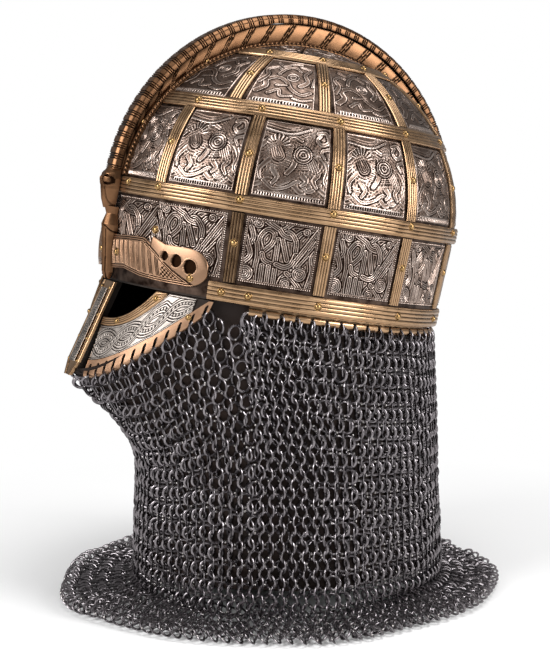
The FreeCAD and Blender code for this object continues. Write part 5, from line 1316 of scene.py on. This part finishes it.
levels = np.linspace(*BACKING_LEVELS, 30)
wall = np.concatenate([backing_wall(BACKING_OUTER, levels), backing_wall(BACKING_INNER, levels[::-1])])
add_piece("mail_lining_painted_shade", [grid_part(wall, close_rows=True, solid=True)], painted_shade_leather, "leather",
          ("mail_backing",))


# Padding: a thick leather band held off the bowl by eight long rivets, with four leather tongues that rise
# under the crown. It is out of sight in the picture, so it follows other helmets of the kind.

strap_leather = brown_leather("brown_oiled_leather", "#24160E", "#4B3222", (0.42, 0.66))

waxed_thread, tree, shader, where = new_finish("waxed_linen_thread")
twist = add_node(tree, "TexWave", {"Vector": where, "Scale": 900.0, "Distortion": 1.0}).outputs["Fac"]
tone = add_node(tree, "MixRGB", {"Fac": twist, "Color1": linear("#8A7452"), "Color2": linear("#C9B48A")})
tree.links.new(tone.outputs["Color"], shader.inputs["Base Color"])
shader.inputs["Roughness"].default_value = 0.7

CREASE_IN, STITCH_STEP, STITCH_LONG, THREAD = 2.2, 3.8, 2.9, 0.38


def strip_section(low, high, thick):
    """Cross section of a strip as side and depth: worn edges, and a crease where the stitches sit."""
    left = [(low, 0.35), (low, 0.65), (low + 0.25 * thick, 0.93), (low + 0.5 * thick, 1.0)]
    if high - low > 4 * CREASE_IN:
        left += [(low + CREASE_IN - 0.45, 1.0), (low + CREASE_IN, 0.84), (low + CREASE_IN + 0.45, 1.0)]
    upper = left + [(low + high - side, depth) for side, depth in reversed(left)]
    lower = [(high - 0.25 * thick, 0.07), (high - 0.5 * thick, 0.0), (low + 0.5 * thick, 0.0),
             (low + 0.25 * thick, 0.07)]
    return np.array([(side, depth * thick) for side, depth in upper + lower])


def strip(at, runs, section, widths=None):
    """A leather strip: each run is a place along it and the depth of its inner face."""
    rows = []
    for number, (run, inner) in enumerate(runs):
        share = 1.0 if widths is None else widths[number]
        rows.append(at(run, inner + section[:, 1], section[:, 0] * share))
    return grid_part(np.array(rows), solid=True)


def stitches(at, runs, side, depth):
    """Stitches along a strip at one side, each a short thread end to end in its crease."""
    line = np.array([at(run, np.array(inner + depth), np.array(float(side))) for run, inner in runs]) * 1000
    length = np.concatenate([[0], np.cumsum(np.linalg.norm(np.diff(line, axis=0), axis=1))])
    parts = []
    turn = np.linspace(0, 2 * math.pi, 6, endpoint=False)
    for start in np.arange(STITCH_STEP, length[-1] - STITCH_STEP, STITCH_STEP):
        first, last = (np.array([np.interp(run, length, line[:, axis]) for axis in range(3)])
                       for run in (start, start + STITCH_LONG))
        ahead = (last - first) / np.linalg.norm(last - first)
        other = np.cross(ahead, (0.3, 0.5, 0.8))
        other /= np.linalg.norm(other)
        spoke = np.cos(turn)[:, None] * other + np.sin(turn)[:, None] * np.cross(ahead, other)
        rows = [first + (last - first) * share + THREAD * size * spoke
                for share, size in ((0.0, 0.25), (0.15, 0.9), (0.5, 1.0), (0.85, 0.9), (1.0, 0.25))]
        parts.append(grid_part(np.array(rows) / 1000, solid=True))
    return parts


BAND_LOW, BAND_HIGH, BAND_INNER, BAND_THICK = 14.0, 44.0, -8.5, 2.5


def band_at(angle, offset, side):
    """Place on the head band: side is millimetres up from its middle line."""
    return bowl(angle, ((BAND_LOW + BAND_HIGH) / 2 + side) / WIDEST_HEIGHT, offset)


half = (BAND_HIGH - BAND_LOW) / 2
section = strip_section(-half, half, BAND_THICK) * (1, -1) + (0, BAND_INNER + BAND_THICK)
rows = np.array([band_at(angle, section[:, 1], section[:, 0]) for angle in np.arange(0, 360, 2.5)])
add_piece("head_band_leather", [grid_part(rows, close_rows=True, solid=True)], strap_leather, "leather",
          ("liner_band",))
band_runs = [(angle, BAND_INNER) for angle in np.arange(0, 360, 2.5)]
seams = stitches(band_at, band_runs, half - CREASE_IN, 0.1)
seams += stitches(band_at, band_runs, CREASE_IN - half, 0.1)

CROWN_HALF, CROWN_INNER, CROWN_THICK = 15.0, -11.0, 2.0
crown_places = np.linspace(place_at(BAND_HIGH) - 0.25, 6.0, 36)


def angle_length(angle, place):
    """Millimetres round the bowl for one degree, also below its widest line."""
    rise = math.radians(COURSE_TURN * max(place - 1, 0))
    share = math.cos(rise) if place >= 1 else RIM_SHARE + (1 - RIM_SHARE) * place
    turn = math.radians(angle)
    reach = math.hypot(BOWL_HALF_WIDTH * math.cos(turn), BOWL_HALF_LENGTH * math.sin(turn))
    return math.radians(1) * share * reach


tongues = []
for middle in (45.0, 135.0, 225.0, 315.0):
    def crown_at(place, offset, side, middle=middle):
        return bowl(middle + side / angle_length(middle, place), place, offset)

    section = strip_section(-CROWN_HALF, CROWN_HALF, CROWN_THICK) * (1, -1) + (0, CROWN_THICK)
    runs = [(place, CROWN_INNER) for place in crown_places]
    rounding = np.clip((crown_places - 5.5) / 0.56, 0, 1)
    widths = (1 - 0.07 * crown_places) * np.sqrt(np.clip(1 - rounding ** 2, 0, 1))
    tongues.append(strip(crown_at, runs, section, widths))
add_piece("crown_strap_leather", tongues, strap_leather, "leather", ("crown_straps",))


# Chin strap: brown leather, 18 mm wide, in a short part with a buckle and a long part with the free end, each
# turning on a headed pin through the bowl. Only its edge shows between the cheek plate and the mail.

STRAP_ACROSS, STRAP_DROP, STRAP_Y, STRAP_Z = 84.0, 118.0, -13.644, 207.971
STRAP_HALF, STRAP_THICK = 9.0, 2.4
BUCKLE_TURN, OVER, UNDER = 48.0, 4.56, -3.0
EYE_OUTER, EYE_INNER, TONGUE_HALF, PLAY = 2.76, 1.97, 1.5, 0.4
BAR_ALONG = -8.8


def strap_at(turn, offset, side):
    """Place on the strap: its turn from the left pin, how far out, and how far across."""
    turn = math.radians(turn)
    return np.stack([(STRAP_ACROSS + offset) * math.cos(turn), STRAP_Y + side,
                     STRAP_Z - (STRAP_DROP + offset) * math.sin(turn)], -1) / 1000


def buckle_at(along, out, side):
    """Place in the buckle's own directions: down the strap, outwards and across."""
    zero = np.array(0.0)
    middle = strap_at(BUCKLE_TURN, np.array(STRAP_THICK / 2), zero) * 1000
    down = strap_at(BUCKLE_TURN + 0.05, zero, zero) - strap_at(BUCKLE_TURN - 0.05, zero, zero)
    down /= np.linalg.norm(down)
    outward = np.cross(down, (0, 1, 0))
    outward *= math.copysign(1, outward[0])
    along, out, side = (values[..., None] for values in np.broadcast_arrays(along, out, side))
    return (middle + along * down + out * outward + side * np.array((0, 1, 0))) / 1000


def end_widths(turns, end):
    """Shares of the width that round off a strap's end."""
    away = np.abs(turns - end) * math.radians(1) * STRAP_DROP
    return np.sqrt(np.clip(1 - (1 - np.clip(away / STRAP_HALF, 0.02, 1)) ** 2, 0.01, 1))


full = strip_section(-STRAP_HALF, STRAP_HALF, STRAP_THICK)
short_turns = np.linspace(-7.9, 41.2, 50)
short_runs = [(turn, 0.0) for turn in short_turns]
short_parts = [strip(strap_at, short_runs, full, end_widths(short_turns, -7.9))]
around = np.linspace(0, 2 * math.pi, 25)[:-1]
# the end turns round the buckle's bar in two loops, one each side of the tongue
for low, high in ((-STRAP_HALF, -TONGUE_HALF - PLAY), (TONGUE_HALF + PLAY, STRAP_HALF)):
    wall = ((EYE_OUTER, low), (EYE_OUTER, high), (EYE_INNER, high), (EYE_INNER, low))
    ring = np.array([[(BAR_ALONG + radius * math.cos(a), radius * math.sin(a), side) for radius, side in wall]
                     for a in around])
    short_parts.append(grid_part(buckle_at(*np.moveaxis(ring, -1, 0)), close_rows=True, solid=True))
    link = np.array([[(along, out, side) for out, side in ((-1.2, low), (-1.2, high), (1.2, high), (1.2, low))]
                     for along in (-12.3, -10.7)])
    short_parts.append(grid_part(buckle_at(*np.moveaxis(link, -1, 0)), solid=True))
add_piece("strap_left_leather", short_parts, strap_leather, "leather", ("strap_left",), body="strap")
for side in (STRAP_HALF - CREASE_IN, CREASE_IN - STRAP_HALF):
    seams_left = stitches(strap_at, short_runs[6:], side, 0.84 * STRAP_THICK)
    add_piece("strap_left_seam_" + ("back" if side > 0 else "front"), seams_left, waxed_thread, "leather",
              ("strap_left",), body="strap")


def long_inner(turn):
    """Depth of the long strap's inner face: over the short one, through the buckle, then under the chin."""
    return float(np.interp(turn, (45.6, 50.4, 56.0, 64.0), (OVER, UNDER, UNDER, 0.0)))


def long_runs(turns):
    return [(turn, long_inner(turn)) for turn in turns]


tip_turns, chin_turns = np.linspace(24.1, 41.0, 20), np.linspace(48.0, 183.9, 110)
long_parts = [strip(strap_at, long_runs(tip_turns), full, end_widths(tip_turns, 24.1))]
for low, high in ((-STRAP_HALF, -2 * TONGUE_HALF), (2 * TONGUE_HALF, STRAP_HALF)):
    beside_tongue = strip_section(low, high, STRAP_THICK)
    long_parts.append(strip(strap_at, long_runs(np.linspace(41.0, 48.0, 8)), beside_tongue))
chin_runs = long_runs(chin_turns)
long_parts.append(strip(strap_at, chin_runs, full, end_widths(chin_turns, 183.9)))
add_piece("strap_right_leather", long_parts, strap_leather, "leather", ("strap_right",), body="strap")
long_seams = []
for side in (STRAP_HALF - CREASE_IN, CREASE_IN - STRAP_HALF):
    long_seams += stitches(strap_at, chin_runs[12:-6], side, 0.84 * STRAP_THICK)
add_piece("strap_right_seams", long_seams, waxed_thread, "leather", ("strap_right",), body="strap")
add_piece("head_band_seams", seams, waxed_thread, "leather", ("liner_band",))

# keeper: a narrow leather loop over both parts of the strap
KEEPER_HALF, KEEPER_LOW, KEEPER_HIGH, KEEPER_ROUND = 9.4, -0.4, 7.36, 0.4
# strap turn and wall depth in mm round the loop's section
KEEPER_SECTION = ((26.4, 0.15), (26.4, 1.05), (26.7, 1.2), (29.3, 1.2), (29.6, 1.05), (29.6, 0.15), (29.3, 0.0),
                  (26.7, 0.0))
middle_depth, half_depth = (KEEPER_LOW + KEEPER_HIGH) / 2, (KEEPER_HIGH - KEEPER_LOW) / 2
rows = []
for across, along, start in ((1, 1, 0.0), (-1, 1, 90.0), (-1, -1, 180.0), (1, -1, 270.0)):
    for a in np.radians(np.arange(0, 91, 22.5)) + math.radians(start):
        row = []
        for turn, wall in KEEPER_SECTION:
            side = across * (KEEPER_HALF - KEEPER_ROUND) + math.cos(a) * (KEEPER_ROUND + wall)
            depth = middle_depth + along * (half_depth - KEEPER_ROUND) + math.sin(a) * (KEEPER_ROUND + wall)
            row.append(strap_at(turn, np.array(depth), np.array(side)))
        rows.append(row)
keeper = grid_part(np.array(rows), close_rows=True, solid=True)
add_piece("strap_keeper_leather", [keeper], strap_leather, "leather", ("strap_keeper",), body="strap")

# handled bronze: tarnish in patches about 3 mm across, without recesses
handled_bronze = mottled_metal("handled_bronze", 330.0, 6.0, "#6B4F36", "#C6A482", (0.22, 0.44))
BUCKLE_NODES = ("buckle_frame", "buckle_tongue", "strap_rivets")
refinish(BUCKLE_NODES, handled_bronze)
for name in BUCKLE_NODES:
    soften = frame["nodes"][name].modifiers.new("worn_edges", "BEVEL")
    soften.width, soften.segments, soften.limit_method = 0.0004, 3, "ANGLE"


# Floor, light and camera. The object stands on a plain pale floor that fades to white, lit by three soft
# lamps, and the camera looks at its left front from a little above the middle.

FADE_START, FADE_END = 0.17, 0.42

seamless_paper, tree, shader, where = new_finish("seamless_paper")
grain = add_node(tree, "TexNoise", {"Vector": where, "Scale": 900.0, "Detail": 2.0})
tone = add_node(tree, "MixRGB", {"Fac": grain.outputs["Fac"], "Color1": linear("#F2F2F2"),
                                 "Color2": linear("#F6F6F6")})
tree.links.new(tone.outputs["Color"], shader.inputs["Base Color"])
shader.inputs["Roughness"].default_value = 0.9
# far from the object the camera sees the paper as plain white
away = add_node(tree, "VectorMath", {0: where}, operation="LENGTH").outputs["Value"]
far = add_node(tree, "MapRange", {"Value": away, "From Min": FADE_START, "From Max": FADE_END})
path = add_node(tree, "LightPath").outputs["Is Camera Ray"]
fade = add_node(tree, "Math", {0: far.outputs["Result"], 1: path}, operation="MULTIPLY").outputs["Value"]
white = add_node(tree, "Emission", {"Color": (1.0, 1.0, 1.0, 1.0), "Strength": 1.0}).outputs["Emission"]
blend = add_node(tree, "MixShader", {"Fac": fade})
tree.links.new(shader.outputs["BSDF"], blend.inputs[1])
tree.links.new(white, blend.inputs[2])
add_node(tree, "OutputMaterial", {"Surface": blend.outputs["Shader"]}).is_active_output = True
bpy.ops.mesh.primitive_plane_add(size=6.0, location=(0.0, 0.0, -0.0004))
floor = bpy.context.object
floor.name = "paper_floor"
floor.data.materials.append(seamless_paper)

world = bpy.data.worlds.new("white_room")
bpy.context.scene.world = world
world.use_nodes = True
tree = world.node_tree
tree.nodes.clear()
path = add_node(tree, "LightPath")
strength = add_node(tree, "MapRange", {"Value": path.outputs["Is Camera Ray"], "To Min": 0.3, "To Max": 1.0})
light = add_node(tree, "Background", {"Color": (1.0, 1.0, 1.0, 1.0), "Strength": strength.outputs["Result"]})
add_node(tree, "OutputWorld", {"Surface": light.outputs["Background"]})

AIM = (0.0, 0.00112, 0.17924)


def soft_lamp(name, place, size, power):
    lamp = bpy.data.lights.new(name, "AREA")
    lamp.size, lamp.energy = size, power
    holder = bpy.data.objects.new(name, lamp)
    holder.location = place
    direction = Vector(AIM) - Vector(place)
    holder.rotation_euler = direction.to_track_quat("-Z", "Y").to_euler()
    bpy.context.scene.collection.objects.link(holder)


soft_lamp("front_lamp", (0.4, -1.5, 0.9), 0.8, 25.0)
soft_lamp("side_lamp", (1.4, 1.0, 0.7), 0.7, 21.0)
soft_lamp("top_lamp", (0.3, 0.2, 1.6), 0.8, 13.0)

CAMERA_TURN, CAMERA_RISE, CAMERA_AWAY = math.radians(63.737), math.radians(8.45), 1.23236
# the focal length is in pixels of a picture 650 pixels tall
SENSOR, FOCAL_PIXELS, PICTURE_PIXELS = 36.0, 1819.96, 650
lens = bpy.data.cameras.new("camera")
lens.sensor_width = SENSOR
lens.lens = FOCAL_PIXELS * SENSOR / PICTURE_PIXELS
camera = bpy.data.objects.new("camera", lens)
flat = CAMERA_AWAY * math.cos(CAMERA_RISE)
camera.location = Vector(AIM) + Vector((flat * math.sin(CAMERA_TURN), -flat * math.cos(CAMERA_TURN),
                                        CAMERA_AWAY * math.sin(CAMERA_RISE)))
camera.rotation_euler = (Vector(AIM) - camera.location).to_track_quat("-Z", "Y").to_euler()
bpy.context.scene.collection.objects.link(camera)
bpy.context.scene.camera = camera
bpy.context.scene.view_settings.view_transform = "Standard"
